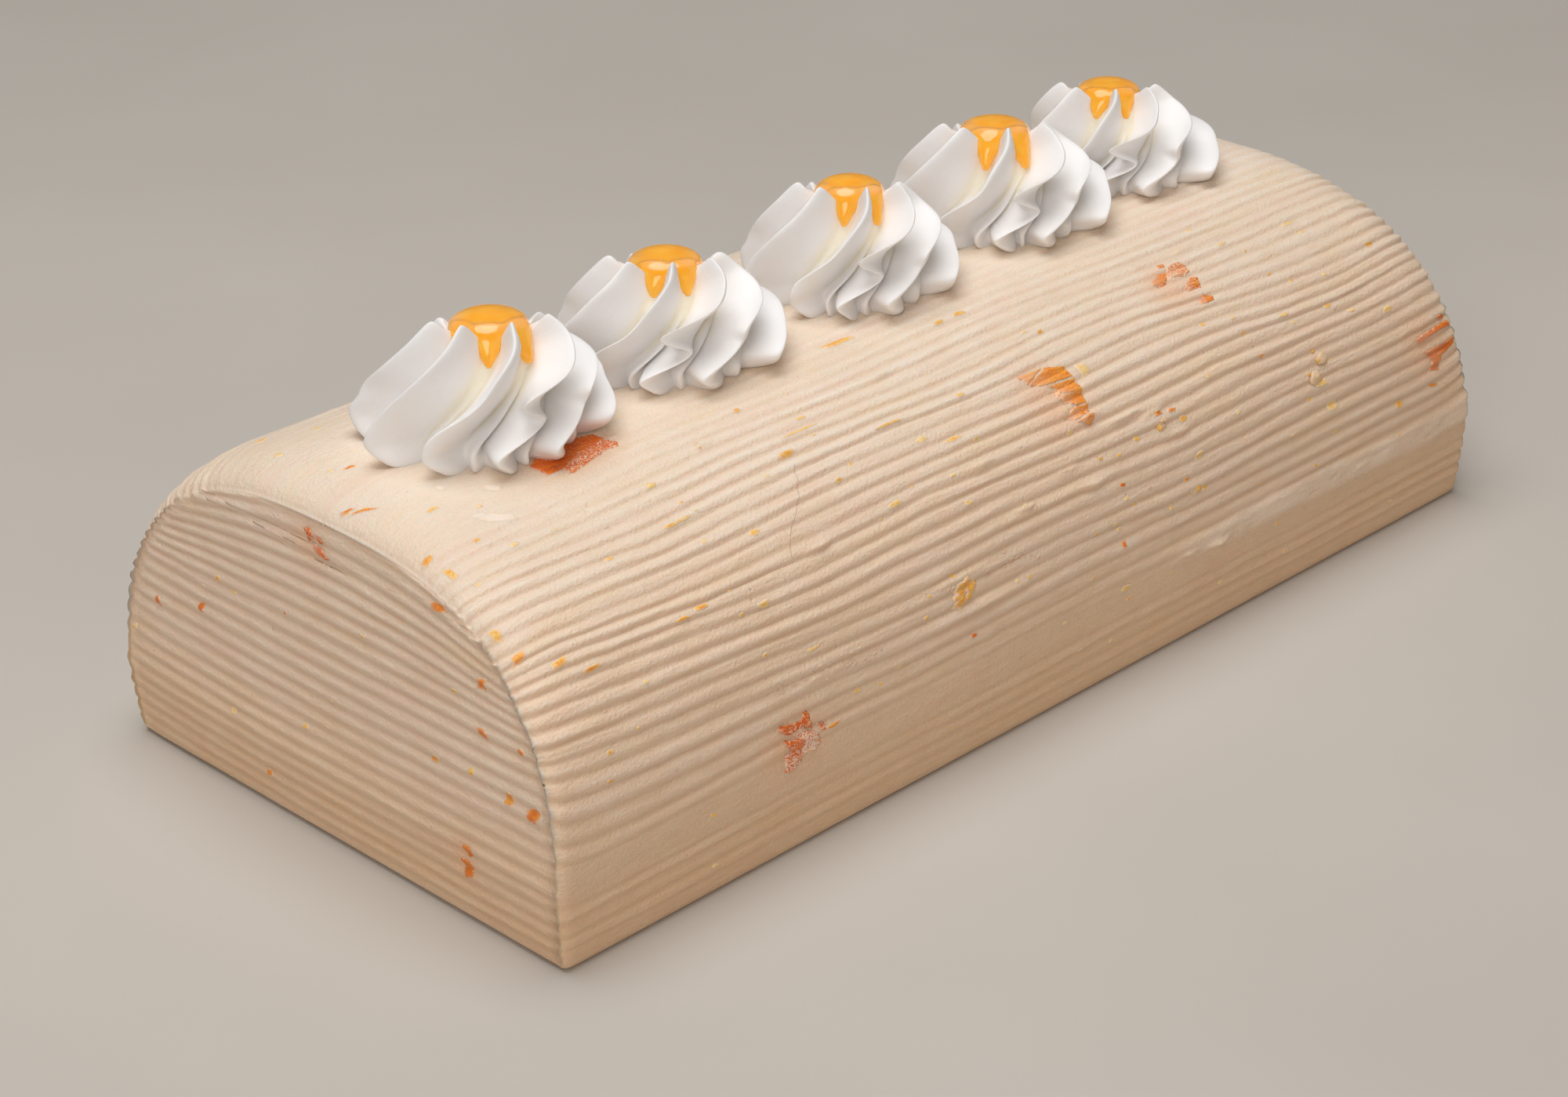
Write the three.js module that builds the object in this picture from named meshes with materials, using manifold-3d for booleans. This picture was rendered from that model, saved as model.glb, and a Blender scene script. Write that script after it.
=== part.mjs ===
// Cream-covered roll cake with a combed coat, five piped rosettes, fruit jelly and fruit pieces.
// Units are millimetres, +Z up. X runs along the roll, the origin is the middle of the flat base.
import * as THREE from 'three';
import { mergeVertices } from 'three/addons/utils/BufferGeometryUtils.js';
import Module from 'manifold-3d';

const solids = await Module();
solids.setup();

// Roll
const CAKE_LENGTH = 270;
const CAKE_WIDTH = 130;
const CAKE_HEIGHT = 72;
const WALL_HEIGHT = 16;
const WALL_TAPER = 1.2;
const BASE_BEVEL = 2;
const ARCH_SIDE_POWER = 0.69;
const ARCH_TOP_POWER = 0.84;
const END_DROP = 0.139;
const END_DROP_REACH = 7.2;
const END_LEAN = 4.4;
const FIT_GAP = 0.3;

// Combing of the cream
const COMB_PITCH = 3.1;
const COMB_DEPTH = 0.8;
const COMB_FIRST_ARC = 5.5;
const COMB_TEETH = 24;
const FOOT_COMB_FIRST_ARC = -11.5;
const FOOT_COMB_TEETH = 3;
const COMB_FADE_START = 60;
const COMB_FADE_END = 80;
const END_COMB_FIRST_HEIGHT = 9;
const END_COMB_TEETH = 17;

// Rosettes of whipped cream, each with its own width and height
const ROSETTE_PETALS = 7;
const PETAL_SWELL = 0.05;
const PETAL_DRIFT = 5;
const ROSETTE_PLACES = [
  { x: -92.5, y: 2, size: 1, tall: 1, turn: 6 },
  { x: -44.4, y: 2, size: 0.96, tall: 0.91, turn: 1 },
  { x: 4.6, y: 1, size: 0.93, tall: 0.97, turn: -6 },
  { x: 53.2, y: 3, size: 0.98, tall: 0.93, turn: 20 },
  { x: 93.2, y: 3, size: 0.91, tall: 0.85, turn: 11 },
];

// Levels of a rosette from its foot to the rim of its crown
const ROSETTE_LEVELS = [
  { crest: 19.5, rise: -3.0, valley: 14.5, valleyRise: -3.0, pleat: 0.5, turn: -38, lean: 0 },
  { crest: 22.8, rise: 0.6, valley: 14.5, valleyRise: 0.6, pleat: 0.8, turn: -48, lean: -5 },
  { crest: 24.4, rise: 4.2, valley: 13.5, valleyRise: 3.8, pleat: 0.6, turn: -58, lean: -12 },
  { crest: 22.2, rise: 9.2, valley: 12.0, valleyRise: 8.0, pleat: 0.2, turn: -42, lean: -13 },
  { crest: 19.0, rise: 14.2, valley: 10.6, valleyRise: 12.2, pleat: 0, turn: -20, lean: -12 },
  { crest: 15.2, rise: 18.8, valley: 9.0, valleyRise: 16.0, pleat: 0, turn: -2, lean: -9 },
  { crest: 11.4, rise: 22.0, valley: 7.7, valleyRise: 18.2, pleat: 0, turn: 5, lean: -5 },
  { crest: 8.4, rise: 21.8, valley: 6.8, valleyRise: 18.4, pleat: 0, turn: 0, lean: 0, inner: true },
];
const CROWN_FIRST_LEVEL = 4;
const CROWN_HOLLOW_RISE = 16.5;

// Shape of one petal round the axis: share of the petal's arc, and how far out it stands
const PETAL_PROFILE = [
  { share: 0, out: 1, pleat: 0 },
  { share: 0.1, out: 0.8, pleat: 0 },
  { share: 0.28, out: 0.22, pleat: 0.1 },
  { share: 0.44, out: 0.02, pleat: 0.6 },
  { share: 0.54, out: 0, pleat: 1 },
  { share: 0.66, out: 0.04, pleat: 0.4 },
  { share: 0.86, out: 0.6, pleat: 0 },
];

// Jelly on the crowns
const JELLY_RADIUS = 8;
const JELLY_TOP_RISE = 24.4;
const JELLY_EDGE_RISE = 19.5;
const JELLY_FOOT_RISE = 14;
const JELLY_RUN = { radius: 7.8, rise: 18.4, thick: 2.4, wide: 2.6, long: 4.2 };
const JELLY_RUN_VALLEYS = [3.5, 4.5];
const JELLY_GAP = 0.5;

// Fruit pieces in the coat. A side piece lies at a place along X and an arc up from the wall's top.
const FRUIT_DEPTH = 4;
const SIDE_FRUIT = [
  { side: -1, x: -86, arc: 80.5, along: 15, across: 9, tilt: 8 },
  { side: -1, x: 13, arc: 47, along: 13, across: 13, tilt: -6 },
  { side: -1, x: 61, arc: 59, along: 12, across: 12.5, tilt: -10 },
  { side: -1, x: -75, arc: 7.5, along: 9.5, across: 10, tilt: 4 },
  { side: -1, x: 123, arc: 24, along: 11, across: 12, tilt: 10 },
  { side: 1, x: -58, arc: 36, along: 12, across: 11, tilt: 7 },
  { side: 1, x: 34, arc: 63, along: 13, across: 10, tilt: -9 },
  { side: 1, x: 92, arc: 19, along: 10, across: 12, tilt: 5 },
];
const END_FRUIT = [
  { side: -1, y: 3, z: 60, along: 6.5, across: 5, tilt: 6 },
  { side: -1, y: -38, z: 12, along: 4, across: 8, tilt: -14 },
  { side: 1, y: 22, z: 38, along: 9, across: 8, tilt: 12 },
];

const CREAM = { color: 0xf3dfc6, roughness: 0.72, metalness: 0 };
const WHIPPED = { color: 0xf7f3ee, roughness: 0.55, metalness: 0 };
const JELLY = { color: 0xffa21c, roughness: 0.12, metalness: 0 };
const FRUIT = { color: 0xe2712c, roughness: 0.5, metalness: 0 };

const ARCH_HEIGHT = CAKE_HEIGHT - WALL_HEIGHT;
const PETAL_ARC = (2 * Math.PI) / ROSETTE_PETALS;
const radians = THREE.MathUtils.degToRad;
const smooth = THREE.MathUtils.smoothstep;

// A closed body from points and triangles, with its faces turned outwards.
function closedBody(points, triangles) {
  let volume = 0;
  for (const [a, b, c] of triangles) {
    volume += points[a].dot(points[b].clone().cross(points[c]));
  }
  const faces = volume < 0 ? triangles.map(([a, b, c]) => [a, c, b]) : triangles;
  const vertProperties = new Float32Array(points.flatMap((p) => [p.x, p.y, p.z]));
  const triVerts = new Uint32Array(faces.flat());
  return new solids.Manifold(new solids.Mesh({ numProp: 3, vertProperties, triVerts }));
}

// Rings with the same number of points joined into a body, closed by a fan at each end.
function loftBody(rings, firstCentre, lastCentre) {
  const count = rings[0].length;
  const points = [...rings.flat(), firstCentre, lastCentre];
  const first = points.length - 2;
  const last = points.length - 1;
  const lastRing = (rings.length - 1) * count;
  const triangles = [];
  for (let i = 0; i < count; i += 1) {
    const next = (i + 1) % count;
    triangles.push([first, next, i]);
    triangles.push([last, lastRing + i, lastRing + next]);
    for (let k = 0; k < rings.length - 1; k += 1) {
      const low = k * count;
      const high = low + count;
      triangles.push([low + i, low + next, high + next]);
      triangles.push([low + i, high + next, high + i]);
    }
  }
  return closedBody(points, triangles);
}

// A three.js geometry as a solid.
function solidFrom(geometry, matrix) {
  const shell = geometry.clone();
  shell.deleteAttribute('normal');
  shell.deleteAttribute('uv');
  shell.applyMatrix4(matrix);
  const merged = mergeVertices(shell, 1e-3);
  const vertProperties = merged.attributes.position.array;
  const triVerts = new Uint32Array(merged.index.array);
  return new solids.Manifold(new solids.Mesh({ numProp: 3, vertProperties, triVerts }));
}

// The largest body of a solid that a cut has left with loose slivers.
function mainBody(solid) {
  return solid.decompose().reduce((a, b) => (a.volume() > b.volume() ? a : b));
}

function meshFrom(solid, name, look) {
  const { vertProperties, triVerts } = solid.getMesh();
  const geometry = new THREE.BufferGeometry();
  geometry.setAttribute('position', new THREE.BufferAttribute(new Float32Array(vertProperties), 3));
  geometry.setIndex(new THREE.BufferAttribute(new Uint32Array(triVerts), 1));
  geometry.computeVertexNormals();
  const mesh = new THREE.Mesh(geometry, new THREE.MeshStandardMaterial(look));
  mesh.name = name;
  return mesh;
}

// Half of the arch above the wall as a fine line, with the arc length at each point.
function archLine() {
  const steps = 400;
  const line = [];
  let arc = 0;
  for (let i = 0; i <= steps; i += 1) {
    const angle = ((i / steps) * Math.PI) / 2;
    const y = (CAKE_WIDTH / 2) * Math.cos(angle) ** ARCH_SIDE_POWER;
    const z = WALL_HEIGHT + ARCH_HEIGHT * Math.sin(angle) ** ARCH_TOP_POWER;
    const point = i === steps ? { y: 0, z: CAKE_HEIGHT } : { y, z };
    if (i > 0) {
      arc += Math.hypot(point.y - line[i - 1].y, point.z - line[i - 1].z);
    }
    line.push({ ...point, arc });
  }
  return line;
}

const ARCH = archLine();
const ARCH_ARC = ARCH[ARCH.length - 1].arc;

// Plain outline of the section at an arc up from the top of the wall; below it the wall tapers in.
function outlineAt(arc) {
  if (arc <= 0) {
    return { y: CAKE_WIDTH / 2 + (WALL_TAPER * arc) / WALL_HEIGHT, z: WALL_HEIGHT + arc };
  }
  const found = ARCH.findIndex((point) => point.arc >= arc);
  const after = found < 0 ? ARCH.length - 1 : Math.max(found, 1);
  const [a, b] = [ARCH[after - 1], ARCH[after]];
  const t = Math.min((arc - a.arc) / (b.arc - a.arc), 1);
  return { y: a.y + (b.y - a.y) * t, z: a.z + (b.z - a.z) * t };
}

function outlineNormal(arc) {
  const step = 0.5;
  const a = outlineAt(Math.max(arc - step, -WALL_HEIGHT));
  const b = outlineAt(Math.min(arc + step, ARCH_ARC));
  const length = Math.hypot(b.y - a.y, b.z - a.z);
  return { y: (b.z - a.z) / length, z: -(b.y - a.y) / length };
}

// Share of the arch's height that is kept near an end of the roll.
function archShare(x) {
  const inset = Math.max(CAKE_LENGTH / 2 - Math.abs(x), 0);
  return 1 - END_DROP * Math.exp(-((inset / END_DROP_REACH) ** 1.5));
}

// How far a comb line wanders up the section along the roll.
function combWander(x, arc) {
  const inset = Math.max(CAKE_LENGTH / 2 - Math.abs(x), 0);
  const height = THREE.MathUtils.clamp(arc / 45, 0, 1);
  const climb = 4 * Math.exp(-inset / 9) * height;
  const wave = 0.9 * Math.sin(x / 37 + arc / 30) + 0.5 * Math.sin(x / 14 + arc / 11);
  return climb + wave * (0.3 + 0.7 * height);
}

function sidePoint(x, side, arc, out) {
  const place = outlineAt(Math.min(arc, ARCH_ARC));
  const normal = outlineNormal(Math.min(arc, ARCH_ARC));
  const rise = Math.max(place.z - WALL_HEIGHT, 0) * (1 - archShare(x));
  return new THREE.Vector3(x, side * (place.y + normal.y * out), place.z + normal.z * out - rise);
}

// A run of comb teeth up one side of a section, a valley and a crest for each tooth.
function combPoints(x, side, firstArc, teeth, grow) {
  const points = [];
  for (let k = 0; k <= 2 * teeth; k += 1) {
    const arc = firstArc + (k * COMB_PITCH) / 2;
    const fade = 1 - smooth(arc, COMB_FADE_START, COMB_FADE_END);
    const tooth = (k % 2 === 0 ? -0.5 : 0.5) * COMB_DEPTH * fade;
    points.push(sidePoint(x, side, arc + combWander(x, arc) * fade, tooth + grow));
  }
  return points;
}

// One side of a section from the base up to the last arc before the top.
function sideOutline(x, side, grow) {
  const points = [
    new THREE.Vector3(x, side * (CAKE_WIDTH / 2 - WALL_TAPER - BASE_BEVEL + grow), -grow),
    sidePoint(x, side, BASE_BEVEL - WALL_HEIGHT, grow),
    ...combPoints(x, side, FOOT_COMB_FIRST_ARC, FOOT_COMB_TEETH, grow),
    ...combPoints(x, side, COMB_FIRST_ARC, COMB_TEETH, grow),
  ];
  points.push(sidePoint(x, side, (ARCH_ARC + COMB_FADE_END) / 2, grow));
  return points;
}

// Places along the roll where its section is drawn, closer together where the ends round off.
function stationPlaces() {
  const insets = [-2, 1.5, 5, 10, 20, 38, 60, 85, 112];
  const near = insets.map((inset) => inset - CAKE_LENGTH / 2);
  const far = insets.map((inset) => CAKE_LENGTH / 2 - inset).reverse();
  return [...near, ...far];
}

// The combed roll before its ends are cut, grown all round where a clearance is wanted.
function combedRoll(grow) {
  const rings = stationPlaces().map((x) => {
    const right = sideOutline(x, 1, grow);
    const left = sideOutline(x, -1, grow).reverse();
    return [...right, sidePoint(x, 1, ARCH_ARC, grow), ...left];
  });
  const reach = CAKE_LENGTH / 2 + 2;
  const middle = CAKE_HEIGHT * 0.4;
  return loftBody(rings, new THREE.Vector3(-reach, 0, middle), new THREE.Vector3(reach, 0, middle));
}

// Distance of an end face from the middle of the roll, with its comb relief.
function endReach(z, relief) {
  const above = Math.max(z - WALL_HEIGHT, 0) / ARCH_HEIGHT;
  const below = Math.max(WALL_HEIGHT - z, 0) / WALL_HEIGHT;
  return CAKE_LENGTH / 2 - END_LEAN * above - WALL_TAPER * below + relief;
}

// A block as wide as the roll and more, whose two ends are combed level.
function endCombBlock() {
  const rings = [-80, -40, 0, 40, 80].map((y) => {
    const smile = 1.5 * (y / 65) ** 2 * (y > 0 ? 1 : 0.3);
    const profile = [{ z: -5, relief: 0 }];
    for (let k = 0; k <= 2 * END_COMB_TEETH; k += 1) {
      const relief = (k % 2 === 0 ? -0.5 : 0.5) * COMB_DEPTH;
      profile.push({ z: END_COMB_FIRST_HEIGHT + (k * COMB_PITCH) / 2 + smile, relief });
    }
    profile.push({ z: CAKE_HEIGHT + 8, relief: 0 });
    const near = profile.map(({ z, relief }) => new THREE.Vector3(-endReach(z, relief), y, z));
    const far = profile.map(({ z, relief }) => new THREE.Vector3(endReach(z, relief), y, z));
    return [...near, ...far.reverse()];
  });
  const middle = CAKE_HEIGHT / 2;
  return loftBody(rings, new THREE.Vector3(0, -80, middle), new THREE.Vector3(0, 80, middle));
}

// Base, sides and thickness of a fruit piece as a solid block with clipped corners.
function fruitBlock(along, across, frame, clearance) {
  const a = along / 2 + clearance;
  const b = across / 2 + clearance;
  const outline = new THREE.Shape([
    new THREE.Vector2(-a, -b * 0.7),
    new THREE.Vector2(-a * 0.6, -b),
    new THREE.Vector2(a * 0.8, -b * 0.9),
    new THREE.Vector2(a, b * 0.3),
    new THREE.Vector2(a * 0.7, b),
    new THREE.Vector2(-a * 0.8, b * 0.85),
  ]);
  const depth = 2 * FRUIT_DEPTH + clearance;
  const block = new THREE.ExtrudeGeometry(outline, { depth, bevelEnabled: false });
  block.translate(0, 0, -FRUIT_DEPTH - clearance);
  return solidFrom(block, frame);
}

// Frame of a side piece: its x along the roll, its y up the section, its z straight out.
function sideFruitFrame({ side, x, arc, tilt }) {
  const normal = outlineNormal(arc);
  const out = new THREE.Vector3(0, side * normal.y, normal.z);
  const along = new THREE.Vector3(-side, 0, 0);
  const up = out.clone().cross(along);
  return new THREE.Matrix4()
    .makeBasis(along, up, out)
    .setPosition(sidePoint(x, side, arc, 0))
    .multiply(new THREE.Matrix4().makeRotationZ(radians(tilt)));
}

function endFruitFrame({ side, y, z, tilt }) {
  const out = new THREE.Vector3(side, 0, 0);
  const along = new THREE.Vector3(0, side, 0);
  const up = new THREE.Vector3(0, 0, 1);
  return new THREE.Matrix4()
    .makeBasis(along, up, out)
    .setPosition(side * endReach(z, 0), y, z)
    .multiply(new THREE.Matrix4().makeRotationZ(radians(tilt)));
}

// One level of a rosette, as a ring round its axis. Growing it narrows the hollow of the crown.
function rosetteRing(level, place, profile, grow) {
  const ring = [];
  for (let petal = 0; petal < ROSETTE_PETALS; petal += 1) {
    const swell = 1 + PETAL_SWELL * Math.sin(petal * 2.4 + place.turn);
    const drift = PETAL_DRIFT * Math.sin(petal * 1.7 + place.turn);
    for (const { share, out, pleat } of profile) {
      const stand = Math.max(out, pleat * level.pleat);
      const radius = level.valley + (level.crest * swell - level.valley) * stand;
      const turn = level.turn + level.lean * out + place.turn + drift;
      const angle = (petal + share) * PETAL_ARC + radians(turn);
      const rise = level.valleyRise + (level.rise - level.valleyRise) * stand;
      const reach = radius * place.size + (level.inner ? -grow : grow);
      const x = place.x + reach * Math.cos(angle);
      const y = place.y + reach * Math.sin(angle);
      ring.push(new THREE.Vector3(x, y, CAKE_HEIGHT + rise * place.tall + grow));
    }
  }
  return ring;
}

function rosetteBody(place, levels, profile, grow) {
  const rings = levels.map((level) => rosetteRing(level, place, profile, grow));
  const footRise = levels[0].rise * place.tall;
  const foot = new THREE.Vector3(place.x, place.y, CAKE_HEIGHT + footRise + grow);
  const hollowRise = CROWN_HOLLOW_RISE * place.tall;
  const hollow = new THREE.Vector3(place.x, place.y, CAKE_HEIGHT + hollowRise + grow);
  return loftBody(rings, foot, hollow);
}

function wholeRosette(place, grow) {
  return rosetteBody(place, ROSETTE_LEVELS, PETAL_PROFILE, grow);
}

// Plain seven-pointed crown that holds the finer one, for the seat of the jelly.
function plainCrown(place) {
  const levels = ROSETTE_LEVELS.slice(CROWN_FIRST_LEVEL);
  const profile = PETAL_PROFILE.filter(({ out }) => out === 1 || out === 0);
  return rosetteBody(place, levels, profile, JELLY_GAP);
}

// Jelly: a dome on the crown with a run in each of two valleys.
function jellyBody(place) {
  const profile = [new THREE.Vector2(0, JELLY_FOOT_RISE)];
  const steps = 3;
  for (let i = 0; i < steps; i += 1) {
    const angle = ((i / steps) * Math.PI) / 2;
    const rise = JELLY_EDGE_RISE + (JELLY_TOP_RISE - JELLY_EDGE_RISE) * Math.sin(angle);
    profile.push(new THREE.Vector2(JELLY_RADIUS * Math.cos(angle) ** 0.8, rise));
  }
  profile.push(new THREE.Vector2(0, JELLY_TOP_RISE));
  const stand = new THREE.Matrix4()
    .makeTranslation(place.x, place.y, CAKE_HEIGHT)
    .scale(new THREE.Vector3(place.size, place.size, place.tall));
  const upright = new THREE.Matrix4().makeRotationX(Math.PI / 2);
  const dome = solidFrom(new THREE.LatheGeometry(profile, 10), stand.clone().multiply(upright));
  return JELLY_RUN_VALLEYS.reduce((jelly, valley) => {
    const angle = valley * PETAL_ARC + radians(place.turn);
    const run = new THREE.Matrix4()
      .makeRotationZ(angle)
      .multiply(new THREE.Matrix4().makeTranslation(JELLY_RUN.radius, 0, JELLY_RUN.rise))
      .scale(new THREE.Vector3(JELLY_RUN.thick, JELLY_RUN.wide, JELLY_RUN.long));
    return jelly.add(solidFrom(new THREE.SphereGeometry(1, 5, 4), stand.clone().multiply(run)));
  }, dome);
}

const roll = combedRoll(0).intersect(endCombBlock());
const clearRoll = combedRoll(FIT_GAP);

const cake = new THREE.Group();
let coat = roll;
const fruit = [
  ...SIDE_FRUIT.map((piece) => ({ ...piece, frame: sideFruitFrame(piece) })),
  ...END_FRUIT.map((piece) => ({ ...piece, frame: endFruitFrame(piece) })),
];
fruit.forEach(({ along, across, frame }, index) => {
  const piece = roll.intersect(fruitBlock(along, across, frame, 0));
  coat = coat.subtract(fruitBlock(along, across, frame, FIT_GAP));
  cake.add(meshFrom(piece, `mango_piece_${index + 1}`, FRUIT));
});
cake.add(meshFrom(coat, 'cream_roll', CREAM));

ROSETTE_PLACES.forEach((place, index) => {
  let rosette = wholeRosette(place, 0).subtract(clearRoll);
  if (index > 0) {
    const neighbour = ROSETTE_PLACES[index - 1];
    const pressed = { ...neighbour, x: neighbour.x + FIT_GAP };
    rosette = rosette.subtract(wholeRosette(neighbour, FIT_GAP)).subtract(wholeRosette(pressed, 0));
  }
  cake.add(meshFrom(rosette, `rosette_${index + 1}`, WHIPPED));
  const jelly = mainBody(jellyBody(place).subtract(plainCrown(place)).subtract(rosette));
  cake.add(meshFrom(jelly, `mango_jelly_${index + 1}`, JELLY));
});

export default cake;
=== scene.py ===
# Mango roll cake: a combed cream coat with mango showing through it, and five piped rosettes with jelly.
# Sizes are in millimetres and are turned to metres where a mesh is made.
import math

import bpy
import numpy as np
from mathutils import Matrix, Vector


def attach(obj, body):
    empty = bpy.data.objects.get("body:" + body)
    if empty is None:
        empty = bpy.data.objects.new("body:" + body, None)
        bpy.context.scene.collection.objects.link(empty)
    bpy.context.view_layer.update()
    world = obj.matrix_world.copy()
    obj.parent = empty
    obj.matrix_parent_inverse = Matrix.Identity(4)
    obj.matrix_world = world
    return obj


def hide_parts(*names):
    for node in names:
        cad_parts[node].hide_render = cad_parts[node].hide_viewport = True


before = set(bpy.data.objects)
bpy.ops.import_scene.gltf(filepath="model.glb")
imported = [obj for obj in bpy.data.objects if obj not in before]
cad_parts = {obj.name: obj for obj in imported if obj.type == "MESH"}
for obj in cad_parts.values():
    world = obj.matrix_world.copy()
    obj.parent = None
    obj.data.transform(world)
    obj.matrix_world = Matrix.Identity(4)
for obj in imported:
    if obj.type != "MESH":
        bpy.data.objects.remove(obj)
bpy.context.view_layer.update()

MM = 0.001

# Roll
CAKE_LENGTH = 270
CAKE_WIDTH = 130
CAKE_HEIGHT = 72
WALL_HEIGHT = 16
WALL_TAPER = 1.2
FOOT_ROUND = 2
ARCH_SIDE_POWER = 0.69
ARCH_TOP_POWER = 0.84
ARCH_SAMPLES = 401
# The arch drops towards each end face, which leans in. Relief near the top line points straight up.
END_DROP = 0.139
END_DROP_REACH = 7.2
END_DROP_POWER = 1.5
END_LEAN = 4.4
TOP_LEVEL_ARC = 6
NORMAL_STEP = 0.5
HALF_LENGTH = CAKE_LENGTH / 2
ARCH_HEIGHT = CAKE_HEIGHT - WALL_HEIGHT

# Combing of the coat. An arc is measured up the section from the top of the upright wall.
COMB_PITCH = 3.1
COMB_DEPTH = 0.8
COMB_FIRST_ARC = 5.5
FOOT_COMB_FIRST_ARC = -11.5
FOOT_COMB_LAST_ARC = -2.2
FOOT_COMB_DEPTH = 0.8
# Arcs where the comb lines start to fade and are gone, and how much higher both are past the near end and
# by the far end
COMB_FADE_START = 52
COMB_FADE_END = 76
COMB_RISE = (12, 17)
COMB_RISE_ALONG = (-108, -58)
FAR_COMB_RISE = (14, 8)
FAR_COMB_ALONG = (40, 100)
SMOOTH_COMB_DEPTH = 0.07
# How comb lines sway, rise at both ends and more so high up, bend up by the near end and down by the far end
SWAY = 0.5
SWAY_ALONG = 14
SWAY_UP = 11
WANDER_HEIGHT = 45
LOW_WAVE = 0.3
END_RISE = 4.5
END_RISE_ABOVE = 2.5
END_RISE_REACH = 6
END_RISE_FROM = -4
END_RISE_SPAN = 16
NEAR_BEND = 4.5
NEAR_BEND_REACH = 42
NEAR_BEND_START = (6, 20)
NEAR_BEND_END = (32, 48)
FAR_BEND = 3.5
FAR_BEND_ALONG = (30, 125)
FAR_BEND_ARCS = (36, 56)
TOOTH_WANDER_ARCS = (-9, -5)
STRAIGHT_ARCS = (72, 97)
# Steps from tooth to tooth through the unevenness of round and of flat ridges
RIDGE_STEP = 3.7
FLAT_RIDGE_STEP = 2.3
# Combing of an end face: its lines smile low down and bow up to the outline near the top
END_COMB_FIRST_HEIGHT = 9
END_COMB_DEPTH = 0.62
END_COMB_TOP = 69
END_TOP = 66.2
END_SCRATCH_FADE = (48, 58)
END_SMILE = 1.5
END_SMILE_FRONT = 0.3
END_BOW = 6.4
END_BOW_HALF = 40
END_BOW_POWER = 2.6
END_BOW_HEIGHTS = (40, 66)
END_RIM_DROP = 0.45
# Arcs over which the combed tones give way to the paler smooth ones, and heights where the painted shade
# that darkens and warms the low coat ends
SPREAD_ARCS = (26, 72)
LOW_SHADE_HEIGHTS = (4, 36)

# Bead of pale cream squeezed up along the foot of the front: middle arc, half its width, where it starts
BEAD_ARC = 5.8
BEAD_HALF = 2.8
BEAD_START = (25, 50)
BEAD_FALL = 1.2
BEAD_FALL_ALONG = (60, 120)
BEAD_EDGE_POWER = 6
# How far the bead smooths the combing away, and how far it takes the paler tones
BEAD_SMOOTHING = 0.8
BEAD_PALENESS = 0.45

# Mesh of the coat
FOOT_ROWS = 4
ROWS_PER_TOOTH = 8
TOP_ROW = 0.52
STATION_STEP = 1.52
END_STATIONS = [0, 0.3, 0.7, 1.2, 1.9, 2.8, 3.9, 5.2, 6.7, 8.4]
NEAR_END_COLUMNS = 60
FAR_END_COLUMNS = 16
CAP_RIM = 0.06
EDGE_ROUND = 2.2
EDGE_DROP = 1.1
# Edge round an end face, with a lip of cream that the comb left and that is gone higher up
CORNER_REACH = 1.2
END_LIP = 0.2
END_LIP_CREST = 0.4
END_LIP_FADE = (44, 62)
EDGE_SMOOTH_ARCS = (62, 78)
CAP_GROOVE = 0.3
CAP_GROOVE_FADE = (44, 56)
# Where the lay of an end face and of each mango piece lies, apart so that no two show the same grain
END_LAY = 90.0
FRUIT_LAY = 31.0

# Unevenness by name: how much, how long a bump is along and up, seed, and layers of ever finer bumps.
# A side or a piece adds its own number to the seed.
UNEVENNESS = {
    "comb_wave": (0.8, 45, 22, 11, 3),
    "tooth": (0.22, 15, COMB_PITCH, 14, 1),
    "fine_tooth": (0.09, 4, 5, 17, 1),
    "comb_depth": (0.3, 24, 9, 23, 3),
    "comb_fade": (5, 30, 60, 27, 1),
    "scratch": (0.1, 26, 0.55, 31, 1),
    "fine_scratch": (0.06, 7, 0.45, 32, 1),
    "rough": (0.09, 2.6, 0.9, 33, 1),
    "rough_share": (1, 30, 12, 34, 3),
    "swell": (0.22, 38, 17, 35, 3),
    "ridge": (1, 34, 1, 36, 1),
    "flat_ridge": (1, 28, 1, 38, 1),
    "bead_path": (0.6, 24, 1, 41, 3),
    "bead_share": (0.25, 13, 1, 42, 1),
    "bead_band": (0.18, 9, 2.2, 43, 3),
    "bead_width": (0.5, 9, 1, 44, 1),
    "bead_lumps": (0.2, 4.5, 2.5, 45, 1),
    "bead_gaps": (1, 1.6, 1.1, 46, 1),
    "tear": (0.5, 1.3, 0.8, 51, 1),
    "end_wave": (0.5, 26, 16, 61, 3),
    "end_depth": (0.35, 22, 7, 63, 3),
    "end_scratch": (0.05, 20, 0.6, 65, 1),
    "end_fine_scratch": (0.04, 4, 0.8, 66, 1),
    "end_swell": (0.2, 24, 15, 67, 3),
    "end_lip": (0.2, 1.9, 1, 81, 1),
    "fruit_edge": (0.3, 1.1, 0.6, 70, 3),
    "fine_fruit_edge": (0.22, 0.36, 0.3, 75, 1),
    "speck": (1, 0.42, 0.36, 80, 1),
    "broad_speck": (0.7, 3, 1.6, 85, 3),
    "fibre": (0.06, 3, 0.8, 90, 3),
    "petal_ripple": (0.25, 1, 1, 110, 1),
    "petal_wobble": (1.6, 2, 1, 130, 1),
    "thin_jelly": (0.5, 4, 4, 150, 1),
}
NOISE_SIZE = 128

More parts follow.
